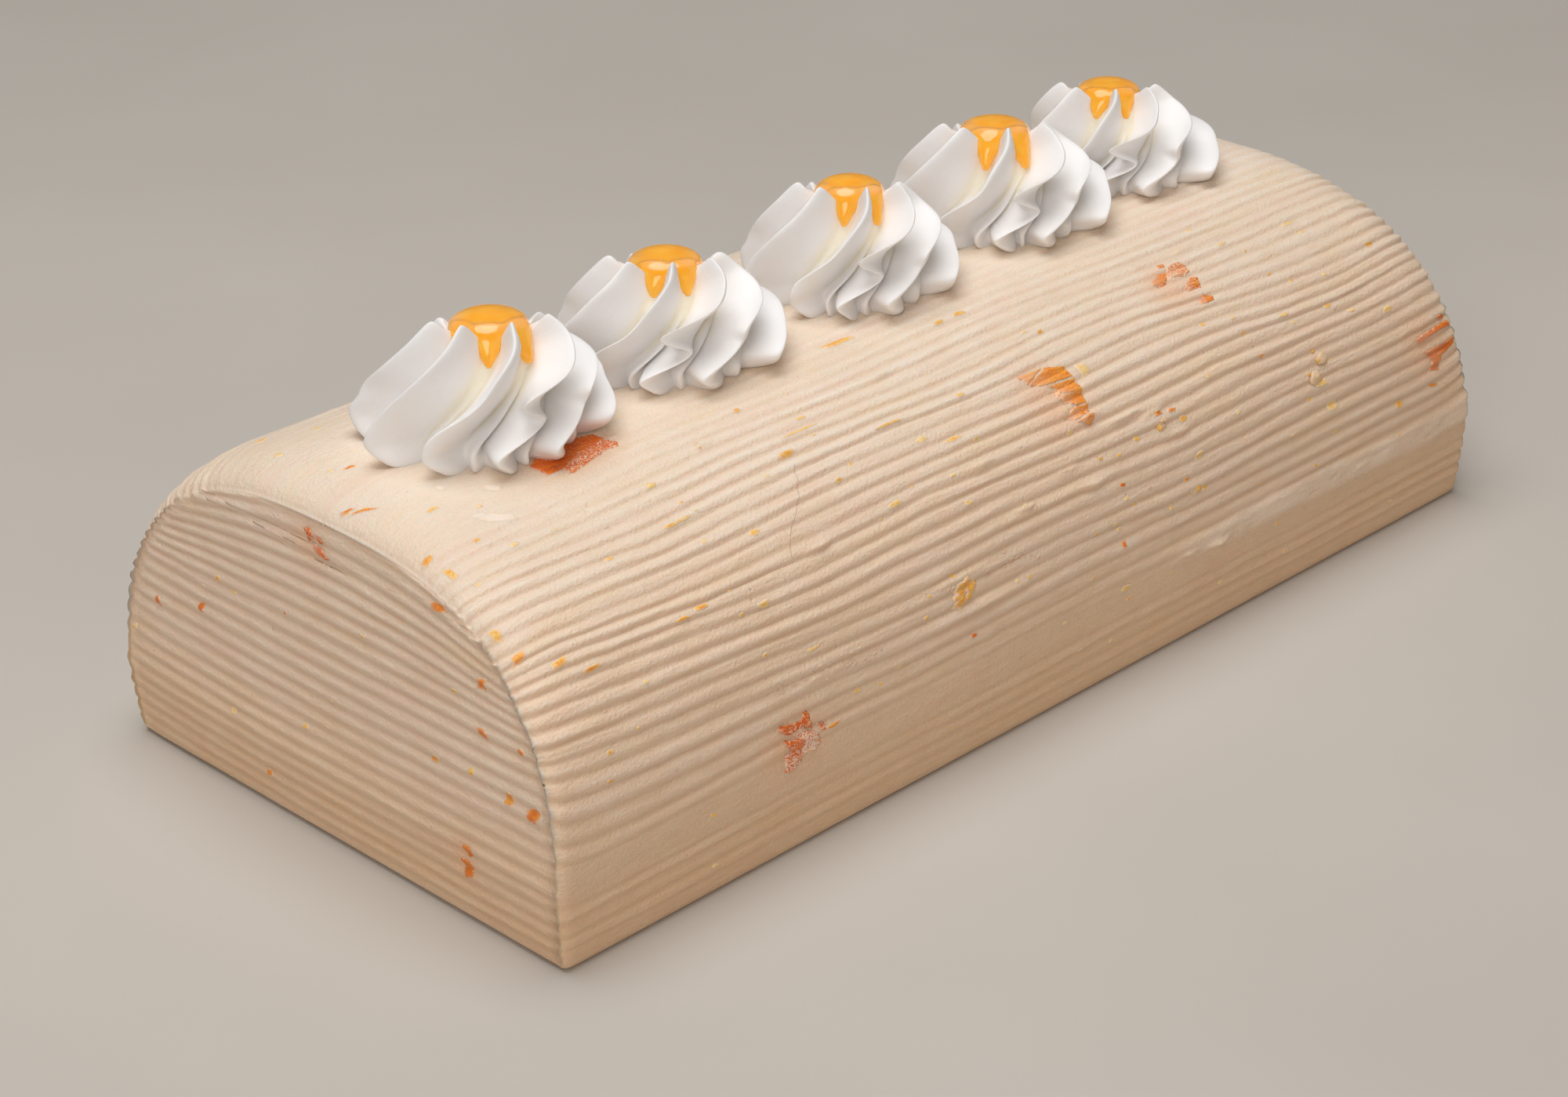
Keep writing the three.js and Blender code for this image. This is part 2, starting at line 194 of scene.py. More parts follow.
# Small raised tears of the cream: half the width of one, and place, arc, length and height of each
TEAR_HALF = 0.55
TEARS = [
    (-60, 40.3, 6, 0.9),
    (-8, 30.3, 4, 0.9),
    (-66, 69.6, 3, 0.6),
    (-20, 67.6, 5, 0.5),
    (-14, 41.6, 5, 0.5),
    (-100, 37.5, 7, 0.5),
    (26, 38.2, 9, 0.8),
    (33, 36.4, 7, 0.7),
    (17, 41.2, 4, 0.9),
    (6, 33.5, 6, 0.5),
    (12, 28.3, 5, 0.6),
    (38, 30.4, 8, 0.5),
    (71, 66.5, 4, 0.6),
    (56, 66.8, 4, 0.5),
    (46, 4.4, 6, 0.9),
    (37, 5.2, 4, 0.7),
    (94, 4.6, 5, 0.6),
    (-30, 23.6, 14, 0.5),
    (-68, 18.2, 12, 0.4),
    (-20, 16.4, 20, 0.4),
]

# Mango pieces where their nodes are: half the reach of each along and up, how red it is, and its bare
# patches: a ring of corners from the middle, how crumbly the patch is and how far cream veils its left.
# Cream lines lie over some: both ends of each, and half its width.
SIDE_FRUIT = [
    {"side": -1, "x": -86, "arc": 80.5, "reach": (11.5, 6.5), "hue": 0.8, "patches": [
        ([(-10.5, 2.5), (-5.5, 5.4), (2.8, 5.2), (6.2, 4), (7, 2), (4.2, 0.8), (-0.5, 0.4), (-6, -2),
          (-10, -2.2)], 0.05, 0),
        ([(-6.2, -2.2), (-0.5, 0.7), (4.5, 1.2), (6.8, 1.4), (7.9, -1), (7, -2.2), (4.2, -1.8),
          (0, -2.8), (-5.8, -4.2)], 0.45, 0)]},
    {"side": -1, "x": 13, "arc": 47, "reach": (8.5, 9.5), "hue": 0.08, "patches": [
        ([(-6.3, 7.8), (0.8, 7.3), (6.1, 5.7), (6.4, 2.6), (1.5, 1.6), (-4.4, 4.9)], 0.1, 0.35),
        ([(6.4, 2.6), (6.1, -0.5), (5.4, -3.4), (2.8, -2.7), (-2.5, 0.5), (0.6, 1.8)], 0.15, 0.75),
        ([(5.4, -3.4), (5.1, -6.3), (4, -7.8), (1.4, -6.2), (-1.2, -4), (2.8, -2.7)], 0.3, 0.6)],
        "lines": [(1.2, 7, -5, 5.2, 0.15), (-1.8, 3.4, 6.9, 2.7, 0.24), (1, 0.6, 4.6, -0.6, 0.15),
            (1.4, -2.6, 4.8, -3.3, 0.16), (-0.8, -5.6, 5.3, -5.3, 0.18)]},
    {"side": -1, "x": 61, "arc": 59, "reach": (7.5, 8), "hue": 0.45, "patches": [
        ([(1, 6.6), (2.2, 6), (1.2, 4.9), (0.1, 5.5)], 0.3, 0),
        ([(-1, 4.3), (0.9, 3.8), (-1.8, 1.4), (-3.5, 1.3), (-5.1, 2.1), (-4.8, 3.1)], 0.25, 0.3),
        ([(0.2, 3.6), (2.5, 4.9), (5.5, 5.1), (6.8, 3.5), (5.8, 1.4), (3, 1.6), (0.5, 2.1)], 0.62, 0.2),
        ([(5, 0.3), (5.9, -0.5), (5.1, -2.9), (3.8, -2.6), (-1.8, -2.2), (2, -0.8)], 0.35, 1),
        ([(4, -4.7), (5.9, -5.5), (5.1, -6.9), (3.8, -6.6), (-0.8, -6.7), (3.1, -5.2)], 0.1, 1)]},
    {"side": -1, "x": -75, "arc": 7.5, "reach": (8.5, 7), "hue": 0.85, "patches": [
        ([(-5.8, 4), (-5.2, 4.9), (-2.5, 4.3), (0, 3.9), (1.2, 5.3), (2.2, 5.3), (2.5, 3), (3, 1.2),
          (0.8, 2.5), (-3.5, 2.4)], 0.3, 0),
        ([(-2.5, 3.2), (0.8, 2.6), (3.8, 0), (5, -2), (3.2, -3), (0, -2.8), (0.5, 0.2),
          (-1.8, 1.5)], 0.85, 0),
        ([(-4.3, 1.6), (-1.5, 1.1), (1.5, 0.1), (0.2, -1), (-0.5, -2), (-3, -1.1), (-4.1, 0.5)], 0.35, 0),
        ([(-4.9, -4.9), (-4.1, -0.9), (0, -2.2), (-0.5, -4.5), (-2.8, -5.1)], 0.6, 0),
        ([(4.7, 1.9), (5.9, 1.3), (6.1, 0.1), (4.9, 0.4)], 0.4, 0)]},
    {"side": -1, "x": 123, "arc": 24, "reach": (9, 8), "hue": 0.62, "patches": [
        ([(4.6, 6.1), (7.2, 6.1), (6.2, 5.1), (3.8, 5.1)], 0.1, 0),
        ([(-5.1, 2), (-2.5, 2.6), (1, 2.9), (3.5, 3.6), (7.8, 4.7), (7.8, 3.4), (2.8, 2.3),
          (-3.5, 0.7), (-4.9, 1.1)], 0.05, 0.3),
        ([(-3, -1.5), (3.5, -0.9), (8, 0.9), (9, 0), (5.8, -2), (2.8, -3.2), (0.8, -6.5), (-1.8, -6),
          (-0.8, -3.8)], 0.05, 0.2)]},
    {"side": 1, "x": -58, "arc": 36, "reach": (8, 7.5), "hue": 0.2, "patches": [
        ([(-3, 5), (5, 5.4), (5.4, 3.2), (-1.6, 3)], 0.1, 0.7),
        ([(-1.4, 2.2), (5.6, 2.3), (6, -0.4), (0, -0.6)], 0.2, 0.7),
        ([(0.4, -1.5), (5.8, -1.6), (5.4, -3.4), (1.4, -3.3)], 0.3, 0.6)]},
    {"side": 1, "x": 34, "arc": 63, "reach": (8, 6.5), "hue": 0.5, "patches": [
        ([(-5.4, 3.2), (-1.2, 4), (1.2, 2.6), (-4.6, 1.6)], 0.3, 0.3),
        ([(-0.8, 1.4), (1.6, 2.6), (5.8, 2.2), (5.4, -0.2), (0.2, 0)], 0.62, 0.2),
        ([(1.4, -1.8), (5.4, -1.8), (5.2, -3.6), (2.2, -3.2)], 0.2, 0.7)]},
    {"side": 1, "x": 92, "arc": 19, "reach": (7, 7.5), "hue": 0.8, "patches": [
        ([(-4.2, 4.4), (2.8, 4.6), (3.2, 2), (-3.8, 2)], 0.3, 0),
        ([(-2.8, 1.3), (3.6, 1.5), (3.2, -1.5), (-2.6, -1.2)], 0.6, 0),
        ([(-3.2, -2), (1.4, -1.8), (1, -4.6), (-2.8, -4.6)], 0.5, 0)]},
]
END_FRUIT = [
    {"side": -1, "y": 3, "z": 61.2, "reach": (6, 4.5), "hue": 0.85, "patches": [
        ([(-3.2, 2.2), (-1.6, 3.2), (-0.8, 1.4), (-2, 0)], 0.35, 0),
        ([(0.4, 2), (1.6, 2.4), (2, 1), (0.8, 0.5)], 0.3, 0),
        ([(-1.2, 0.4), (1.6, -0.2), (3.8, -1.6), (2.6, -2), (-0.6, -0.6)], 0.15, 0.4)]},
    {"side": -1, "y": -39.3, "z": 13.6, "reach": (3.5, 5.5), "hue": 0.5, "patches": [
        ([(-0.8, 3.4), (1.2, 3.6), (1.6, 1.6), (0, 1.1)], 0.1, 0),
        ([(-1.6, 0.2), (1, 0.6), (1.2, -2.8), (-0.8, -3.8)], 0.1, 0)]},
    {"side": 1, "y": 22, "z": 38, "reach": (6.5, 5.5), "hue": 0.4, "patches": [
        ([(-3.8, 3.2), (1.4, 3.4), (1.6, 1.6), (-3.2, 1.5)], 0.2, 0.3),
        ([(-2.2, 0.9), (4, 1), (3.6, -1), (-1.6, -1)], 0.15, 0.5),
        ([(-2, -1.9), (2, -1.7), (1.6, -3.5), (-1.6, -3.4)], 0.4, 0)]},
]
FRUIT_THICKNESS = 2.4
FRUIT_PROUD = 0.15
FRUIT_SUNK = 0.6
FRUIT_HOLLOW = 0.35
FRUIT_STEP = 0.16
FRUIT_END_GAP = 1.2
FRUIT_OPENING = (0.15, 0.6)
FRUIT_VEILING = (0.45, 0.75)
FRUIT_CRUMB_RISE = 0.14
FRUIT_CRUMB_FILM = 0.7

# Rosettes as their nodes have them, with the way each faces in degrees round from the roll's far end, how
# far its petals are turned from that, how far right of its foot its crown sits, and how far its jelly runs
ROSETTES = [
    {"x": -92.5, "y": 2, "size": 1, "tall": 1, "facing": 231, "turn": 0, "shift": 2.8, "run": 1},
    {"x": -44.4, "y": 2, "size": 0.96, "tall": 0.91, "facing": 226, "turn": -15, "shift": 0.2, "run": 0.92},
    {"x": 4.6, "y": 1, "size": 0.93, "tall": 0.97, "facing": 222, "turn": -6, "shift": 1, "run": 1},
    {"x": 53.2, "y": 3, "size": 0.98, "tall": 0.93, "facing": 224, "turn": -11, "shift": -0.8, "run": 1.2},
    {"x": 93.2, "y": 3, "size": 0.91, "tall": 0.85, "facing": 219, "turn": -17, "shift": -2.8, "run": 0.95},
]
# Petals counted round from the way a rosette faces: crest at the crown, tip at the foot, swell, pleat
# beside it, and how far its edge folds over halfway down
PETALS = np.array(
    [
        (-70, -92, 0.97, 0.8, 2),
        (-24, -50, 1.03, 0.25, 0),
        (24, -19, 0.99, 1.0, -3),
        (72, 10, 1.0, 0.9, 17),
        (121, 38, 1.0, 0.8, 9),
        (178, 82, 1.04, 0.8, 3),
        (231, 155, 1.0, 0.9, 4),
    ]
)
PETAL_DRIFT = 3
# Levels from the foot to the rim of the crown: crest and its rise, valley and its rise, pleat, sweep,
# lean and sharpness
ROSETTE_LEVELS = np.array(
    [
        (15.8, -4.6, 14.4, -4.4, 0.4, 0.94, 5, 0.6),
        (18.4, -1.9, 15.8, -1.5, 0.6, 0.99, 6, 0.6),
        (22.6, 0.8, 16.0, 1.2, 0.7, 1.04, 4, 0.7),
        (24.9, 4.4, 14.4, 4.7, 0.6, 1.0, -4, 0.9),
        (23.6, 8.6, 12.1, 8.0, 0.2, 0.66, -10, 1.3),
        (20.8, 13.6, 10.5, 12.0, 0, 0.28, -8, 1.6),
        (16.4, 18.6, 9.0, 16.0, 0, 0.05, -3, 2.0),
        (12.0, 22.6, 7.6, 18.4, 0, 0, 0, 2.4),
        (9.8, 21.4, 6.8, 18.0, 0, 0, 0, 2.4),
    ]
)
# Levels that a fold stands out at and gives way at, and how wide and deep it is
FOLD_OUT = 4.5
FOLD_IN = 3.75
FOLD_LEVELS = 0.42
FOLD_DEPTH = 3.4
FOLD_FULL = 13
CROWN_TILT = 0.26
BACK_TILT = 0.42
CROWN_TILT_LEVELS = (2.8, 6.4)
CROWN_HOLLOW_RISE = 16.5
CROWN_HOLLOW_RINGS = (0.35, 0.7)
# Shares of a petal's arc that its gentle and steep sides take, and where its pleat lies
GENTLE_SIDE = 0.56
STEEP_SIDE = 0.34
GENTLE_POWER = 1.3
STEEP_POWER = 1.8
PLEAT_PLACE = 0.6
PLEAT_HALF = 0.2
PETAL_BUMPS = 3
PETAL_EASE = 0.62
PETAL_ROWS = 84
PETAL_COLUMNS = 36

# Jelly
JELLY_RADIUS = 7.7
JELLY_TOP_RISE = 23.5
JELLY_EDGE_RISE = 20.6
JELLY_RUN_TOP = 20.4
JELLY_RUN_LENGTH = 1.3
JELLY_RUN_TURN = -3
JELLY_VALLEY_SHARE = 0.62
JELLY_VALLEY_SWEEP = 0.08
JELLY_RUN_STRETCH = 4
# Distances from the middle and heights over which the jelly thins to its rim
JELLY_THIN_REACH = (3, 7.5)
JELLY_THIN_RISE = (-0.8, 1.2)
JELLY_THIN_SHARE = 0.6
JELLY_VOXEL = 0.38
JELLY_SMOOTHING = 24
# Valleys that jelly runs into, and how far out it stands there
JELLY_RUNS = [(0, 0.92), (1, 1.0), (2, 1.0), (3, 0.9), (6, 0.85)]
# Lumps of a run: radius, rise, half width, half depth
JELLY_RUN_LUMPS = [
    (6.0, 20.2, 4.6, 2.0),
    (7.2, 19.2, 3.9, 2.0),
    (8.0, 18.1, 3.1, 2.0),
    (8.6, 17.0, 2.3, 1.9),
    (9.1, 15.9, 1.6, 1.8),
    (9.5, 14.9, 1.0, 1.6),
]


# Noise


def smoothstep(value, low, high):
    """From 0 at the low value to 1 at the high one, level at both."""
    share = np.clip((value - low) / (high - low), 0, 1)
    return share * share * (3 - 2 * share)


def value_noise(u, v, seed):
    """Smooth noise from -1 to 1 over two coordinates, one bump a unit."""
    table = np.random.default_rng(seed).random((NOISE_SIZE, NOISE_SIZE)) * 2 - 1
    u, v = np.broadcast_arrays(np.asarray(u, float), np.asarray(v, float))
    column, row = np.floor(u).astype(int), np.floor(v).astype(int)
    a, b = u - column, v - row
    a, b = a * a * (3 - 2 * a), b * b * (3 - 2 * b)
    column, row, right, above = (index % NOISE_SIZE for index in (column, row, column + 1, row + 1))
    low = table[column, row] * (1 - a) + table[right, row] * a
    high = table[column, above] * (1 - a) + table[right, above] * a
    return low * (1 - b) + high * b


def uneven(name, u, v, own=0, shift=(0, 0)):
    """How far a named unevenness rises at a place; a side or a piece adds its own number to the seed."""
    amount, along, up, seed, layers = UNEVENNESS[name]
    u, v = u / along + shift[0], v / up + shift[1]
    total = sum(value_noise(u * 2**k, v * 2**k, seed + own + k) / 2**k for k in range(layers))
    return amount * (total / (2 - 2 ** (1 - layers)))


# Section of the roll


def arch_line():
    angle = np.linspace(0, math.pi / 2, ARCH_SAMPLES)
    y = CAKE_WIDTH / 2 * np.cos(angle) ** ARCH_SIDE_POWER
    z = WALL_HEIGHT + ARCH_HEIGHT * np.sin(angle) ** ARCH_TOP_POWER
    y[-1], z[-1] = 0, CAKE_HEIGHT
    arc = np.concatenate([[0], np.cumsum(np.hypot(np.diff(y), np.diff(z)))])
    return arc, y, z


ARCH_ARC, ARCH_Y, ARCH_Z = arch_line()
TOP_ARC = ARCH_ARC[-1]
FOOT_ARC = FOOT_ROUND - WALL_HEIGHT
LOWEST_ARC = FOOT_ARC - FOOT_ROUND * math.pi / 2


def outline(arc):
    """Plain section: distance from the middle and height at an arc, rounded under at the foot."""
    foot = np.clip((FOOT_ARC - arc) / FOOT_ROUND, 0, math.pi / 2)
    wall = np.maximum(arc, FOOT_ARC)
    wall_y = CAKE_WIDTH / 2 + WALL_TAPER * wall / WALL_HEIGHT - FOOT_ROUND * (1 - np.cos(foot))
    wall_z = WALL_HEIGHT + wall - FOOT_ROUND * np.sin(foot)
    y = np.where(arc <= 0, wall_y, np.interp(arc, ARCH_ARC, ARCH_Y))
    z = np.where(arc <= 0, wall_z, np.interp(arc, ARCH_ARC, ARCH_Z))
    return y, z


def outline_normal(arc):
    low_y, low_z = outline(np.maximum(arc - NORMAL_STEP, LOWEST_ARC))
    high_y, high_z = outline(np.minimum(arc + NORMAL_STEP, TOP_ARC))
    length = np.hypot(high_y - low_y, high_z - low_z)
    return (high_z - low_z) / length, (low_y - high_y) / length


def end_reach(z):
    """Distance of the plain end face from the middle of the roll."""
    above = np.maximum(z - WALL_HEIGHT, 0) / ARCH_HEIGHT
    below = np.maximum(WALL_HEIGHT - z, 0) / WALL_HEIGHT
    return HALF_LENGTH - END_LEAN * above - WALL_TAPER * below


def side_point(side, x, arc, out):
    """Point of a long side, a distance out from its plain surface."""
    y, z = outline(np.minimum(arc, TOP_ARC))
    normal_y, normal_z = outline_normal(np.minimum(arc, TOP_ARC))
    inset = np.maximum(HALF_LENGTH - np.abs(x), 0)
    drop = np.exp(-((inset / END_DROP_REACH) ** END_DROP_POWER))
    drop = np.maximum(z - WALL_HEIGHT, 0) * END_DROP * drop
    top = np.clip((TOP_ARC - arc) / TOP_LEVEL_ARC, 0, 1)
    edge = np.clip(1 - (end_reach(z) - np.abs(x)) / EDGE_ROUND, 0, 1)
    out = out - EDGE_DROP * (1 - np.sqrt(1 - edge * edge))
    y, z = side * (y + normal_y * out * top), z + normal_z * out - drop
    return np.stack(np.broadcast_arrays(x, y, z), axis=-1)


def end_point(side, y, z, out):
    return np.stack(np.broadcast_arrays(side * (end_reach(z) + out), y, z), axis=-1)


# Relief of the cream


def comb_wander(side, x, arc):
    """How far a comb line wanders up the section along the roll."""
    inset = np.maximum(HALF_LENGTH - np.abs(x), 0)
    height = np.clip(arc / WANDER_HEIGHT, 0, 1)
    wave = SWAY * np.sin(x / SWAY_ALONG + arc / SWAY_UP) + uneven("comb_wave", x, arc, side, (3, 5))
    end_rise = (END_RISE + END_RISE_ABOVE * height) * np.exp(-inset / END_RISE_REACH)
    end_rise = end_rise * np.clip((arc - END_RISE_FROM) / END_RISE_SPAN, 0, 1)
    wander = end_rise + wave * (LOW_WAVE + (1 - LOW_WAVE) * height)
    near = np.exp(-(x + HALF_LENGTH) / NEAR_BEND_REACH)
    near = near * smoothstep(arc, *NEAR_BEND_START) * (1 - smoothstep(arc, *NEAR_BEND_END))
    far = smoothstep(x, *FAR_BEND_ALONG) * smoothstep(arc, *FAR_BEND_ARCS)
    tooth = uneven("tooth", x, arc, side, (0, 0.5)) + uneven("fine_tooth", x, arc, side)
    total = wander + NEAR_BEND * near - FAR_BEND * far + tooth * smoothstep(arc, *TOOTH_WANDER_ARCS)
    return total * (1 - smoothstep(arc, *STRAIGHT_ARCS))


def comb_strength(side, x, arc):
    """Share of the full depth that the teeth cut at a place."""
    past, far = smoothstep(x, *COMB_RISE_ALONG), smoothstep(x, *FAR_COMB_ALONG)
    start = COMB_FADE_START + COMB_RISE[0] * past + FAR_COMB_RISE[0] * far
    end = COMB_FADE_END + COMB_RISE[1] * past + FAR_COMB_RISE[1] * far
    fade = 1 - smoothstep(arc + uneven("comb_fade", x, arc, side), start, end)
    upper = smoothstep(arc, COMB_FIRST_ARC - 1.5, COMB_FIRST_ARC + 2)
    upper = upper * (SMOOTH_COMB_DEPTH + (1 - SMOOTH_COMB_DEPTH) * fade)
    foot_start = smoothstep(arc, FOOT_COMB_FIRST_ARC - 1, FOOT_COMB_FIRST_ARC + 1)
    foot = foot_start * (1 - smoothstep(arc, FOOT_COMB_LAST_ARC - 1, FOOT_COMB_LAST_ARC + 1))
    return (upper + FOOT_COMB_DEPTH * foot) * (0.82 + uneven("comb_depth", x, arc, side))


def comb_relief(side, x, arc):
    """Height of the combed cream over its plain surface; arc is the unwandered one."""
    first = np.where(arc < 1.5, FOOT_COMB_FIRST_ARC, COMB_FIRST_ARC)
    tooth = (arc - first) / COMB_PITCH
    own = uneven("ridge", x, np.floor(tooth) * RIDGE_STEP, side)
    round_ridge = np.abs(np.sin(math.pi * tooth)) ** (0.95 + 0.35 * own)
    flat_ridge = smoothstep(0.5 - np.abs(tooth - np.floor(tooth) - 0.5), 0.03, 0.33)
    flat_share = smoothstep(uneven("flat_ridge", x, np.floor(tooth) * FLAT_RIDGE_STEP, side), -0.5, 0.6)
    ridge = (round_ridge + (flat_ridge - round_ridge) * flat_share) * (0.84 + 0.3 * own)
    lean = (0.1 + 0.1 * own) * np.sin(2 * math.pi * tooth)
    scratch = uneven("scratch", x, arc) + uneven("fine_scratch", x, arc)
    rough = uneven("rough", x, arc) * smoothstep(uneven("rough_share", x, arc), -0.2, 0.5)
    strength = comb_strength(side, x, arc)
    swell = uneven("swell", x, arc, side)
    return COMB_DEPTH * strength * (ridge - 0.6 + lean) + scratch * (0.25 + 0.75 * strength) + rough + swell


def bead_share(x, arc):
    """Where the bead of cream lies that was squeezed up along the foot of the front."""
    middle = BEAD_ARC - BEAD_FALL * smoothstep(x, *BEAD_FALL_ALONG) + uneven("bead_path", x, 0.5)
    present = smoothstep(x, *BEAD_START) * (0.85 + uneven("bead_share", x, 0.5))
    half = BEAD_HALF + uneven("bead_width", x, 0.5)
    return present * np.exp(-(np.abs((arc - middle) / half) ** BEAD_EDGE_POWER))


def bead_relief(x, arc):
    """Lumpy bead of cream along the foot of the front, and the band that a spatula left smooth under it."""
    gaps = smoothstep(uneven("bead_gaps", x, arc), 0.55, 0.8)
    lumps = 0.8 + uneven("bead_lumps", x, arc) - 0.5 * gaps
    band = uneven("bead_band", x, arc) * smoothstep(arc, -4, 0) * (1 - smoothstep(arc, 5, 7))
    return bead_share(x, arc) * lumps + band


def tear_relief(x, arc):
    """Height of the small tears; arc is the wandered one."""
    total = 0
    for place, height_arc, length, height in TEARS:
        ragged = 1 + uneven("tear", x, arc, shift=(place, 0))
        along = np.exp(-(((x - place) / (length / 2)) ** 4))
        total = total + height * ragged * along * np.exp(-(((arc - height_arc) / TEAR_HALF) ** 2))
    return total


def side_relief(side, x, arc, wandered):
    """Height of the whole relief on a long side."""
    relief = comb_relief(side, x, arc)
    if side < 0:
        relief = relief + bead_relief(x, arc) + tear_relief(x, wandered)
    return relief


def end_relief(side, y, z):
    """Height of the combing on an end face: level low down, and bowed like the outline near the top."""
    smile = END_SMILE * (y / (CAKE_WIDTH / 2)) ** 2 * np.where(y > 0, 1, END_SMILE_FRONT)
    smile = smile + uneven("end_wave", y, z, side)
    bow = END_BOW * (np.abs(y) / END_BOW_HALF) ** END_BOW_POWER * smoothstep(z, *END_BOW_HEIGHTS)
    tooth = (z + bow - END_COMB_FIRST_HEIGHT - smile) / COMB_PITCH
    ridge = 0.5 - 0.5 * np.cos(2 * math.pi * tooth)
    strength = 0.85 + uneven("end_depth", y, z, side)
    strength = strength * (1 - smoothstep(z, END_COMB_TOP - 9, END_COMB_TOP)) * smoothstep(z, 1, 4)
    scratch = uneven("end_scratch", y, z) + uneven("end_fine_scratch", y, z)
    scratch = scratch * (1 - smoothstep(z, *END_SCRATCH_FADE))
    swell = uneven("end_swell", y, z, side)
    rim = smoothstep(END_TOP + 0.5 - z, 0, 2.5)
    relief = END_COMB_DEPTH * strength * (ridge**0.75 - 0.55) + scratch + swell
    return relief * rim - END_RIM_DROP * (1 - rim)


# Mango in the coat


def fruit_place(piece, u, v):
    """Where a point of a piece's face, right and up as seen from outside, lies on the cake."""
    flip = -piece["side"]
    if "arc" in piece:
        return piece["x"] + flip * u, piece["arc"] + v
    return piece["y"] - flip * u, piece["z"] + v


def fruit_face(piece, along, up):
    """The reverse: where a place on the cake lies on a piece's face."""
    flip = -piece["side"]
    if "arc" in piece:
        return flip * (along - piece["x"]), up - piece["arc"]
    return -flip * (along - piece["y"]), up - piece["z"]


def line_distance(u, v, a_u, a_v, b_u, b_v):
    """How far a point lies from a straight line between two places."""
    run_u, run_v = b_u - a_u, b_v - a_v
    share = np.clip(((u - a_u) * run_u + (v - a_v) * run_v) / (run_u**2 + run_v**2), 0, 1)
    return np.hypot(u - a_u - share * run_u, v - a_v - share * run_v)


def depth_inside(u, v, corners):
    """How far inside a ring of corners a point lies, below zero outside it."""
    nearest, inside = np.full_like(u, np.inf), np.zeros_like(u, bool)
    for (a_u, a_v), (b_u, b_v) in zip(corners, corners[1:] + corners[:1]):
        nearest = np.minimum(nearest, line_distance(u, v, a_u, a_v, b_u, b_v))
        run_u, run_v = b_u - a_u, b_v - a_v
        crosses = (a_v > v) != (b_v > v)
        inside ^= crosses & ((u - a_u) * abs(run_v) < (v - a_v) * run_u * math.copysign(1, run_v))
    return np.where(inside, nearest, -nearest)


def fruit_cover(piece, u, v):
    """How bare a piece is, from 0 under cream to 1, and how thickly crumbs and cream lie over it there."""
    own = int(piece["hue"] * 100)
    ragged = uneven("fruit_edge", u, v, own) + uneven("fine_fruit_edge", u, v, own)
    bare, crumbly, veil = np.zeros_like(u), np.zeros_like(u), np.zeros_like(u)
    for corners, crumbs, fade in piece["patches"]:
        patch = smoothstep(depth_inside(u, v, corners) + (0.6 + 0.8 * crumbs) * ragged, -0.15, 0.2)
        left, right = min(corners)[0], max(corners)[0]
        thin = fade * (1 - smoothstep((u - left) / (right - left) + 0.4 * ragged, 0.1, 0.8))
        crumbly = np.where(patch > bare, crumbs, crumbly)
        veil = np.where(patch > bare, thin, veil)
        bare = np.maximum(bare, patch)
    for *ends, half in piece.get("lines", []):
        aside = line_distance(u, v, *ends) + 0.4 * ragged
        bare = bare * smoothstep(aside, half * 0.7, half * 1.4)
    return bare, crumbly, veil


def fruit_hollow(side, along, up, pieces):
    """How deep the coat gives way to the mango, and how orange the cream is around it."""
    hollow, blush = 0, 0
    for piece in pieces:
        if piece["side"] != side:
            continue
        u, v = fruit_face(piece, along, up)
        reach_u, reach_v = piece["reach"]
        near = (np.abs(u) < reach_u) & (np.abs(v) < reach_v)
        hollow = hollow + np.where(near, FRUIT_HOLLOW * fruit_cover(piece, u, v)[0], 0)
        stain = np.exp(-(((u + 1.5) / (0.95 * reach_u)) ** 2 + (v / (0.85 * reach_v)) ** 2) ** 1.5)
        blush = blush + stain
    return hollow, np.clip(blush, 0, 1)


# Meshes


def make_piece(name, points, faces, lay=None, shares=None):
    """A mesh object from points in millimetres, with where they lie on the cake and named shares."""
    mesh = bpy.data.meshes.new(name)
    mesh.from_pydata((np.asarray(points) * MM).tolist(), [], faces)
    if lay is not None:
        lay_data = mesh.attributes.new("lay", "FLOAT_VECTOR", "POINT")
        lay_data.data.foreach_set("vector", (np.asarray(lay) * MM).ravel().astype(np.float32))
    for key, values in (shares or {}).items():
        share_data = mesh.attributes.new(key, "FLOAT", "POINT")
        share_data.data.foreach_set("value", np.asarray(values, np.float32).ravel())
    mesh.update()
    piece = bpy.data.objects.new(name, mesh)
    bpy.context.scene.collection.objects.link(piece)
    return piece


def select_only(piece):
    bpy.ops.object.select_all(action="DESELECT")
    piece.select_set(True)
    bpy.context.view_layer.objects.active = piece


def face_outwards(piece):
    select_only(piece)
    bpy.ops.object.mode_set(mode="EDIT")
    bpy.ops.mesh.select_all(action="SELECT")
    bpy.ops.mesh.normals_make_consistent(inside=False)
    bpy.ops.object.mode_set(mode="OBJECT")
    bpy.ops.object.shade_smooth()


def settle(piece, slot, material, *nodes):
    """Gives a finished piece its material and its body, and hides the nodes it stands for."""
    piece.data.materials.clear()
    piece.data.materials.append(material)
    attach(piece, "root")
    if nodes:
        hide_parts(*nodes)


def grid_faces(rows, columns, first=0, wrap=False):
    """Quads of a grid of points stored row by row."""
    reach = columns if wrap else columns - 1
    row, column = np.meshgrid(np.arange(rows - 1), np.arange(reach), indexing="ij")
    after = (column + 1) % columns
    a = first + row * columns + column
    b = first + row * columns + after
    return np.stack([a, b, b + columns, a + columns], -1).reshape(-1, 4).tolist()


# Coat


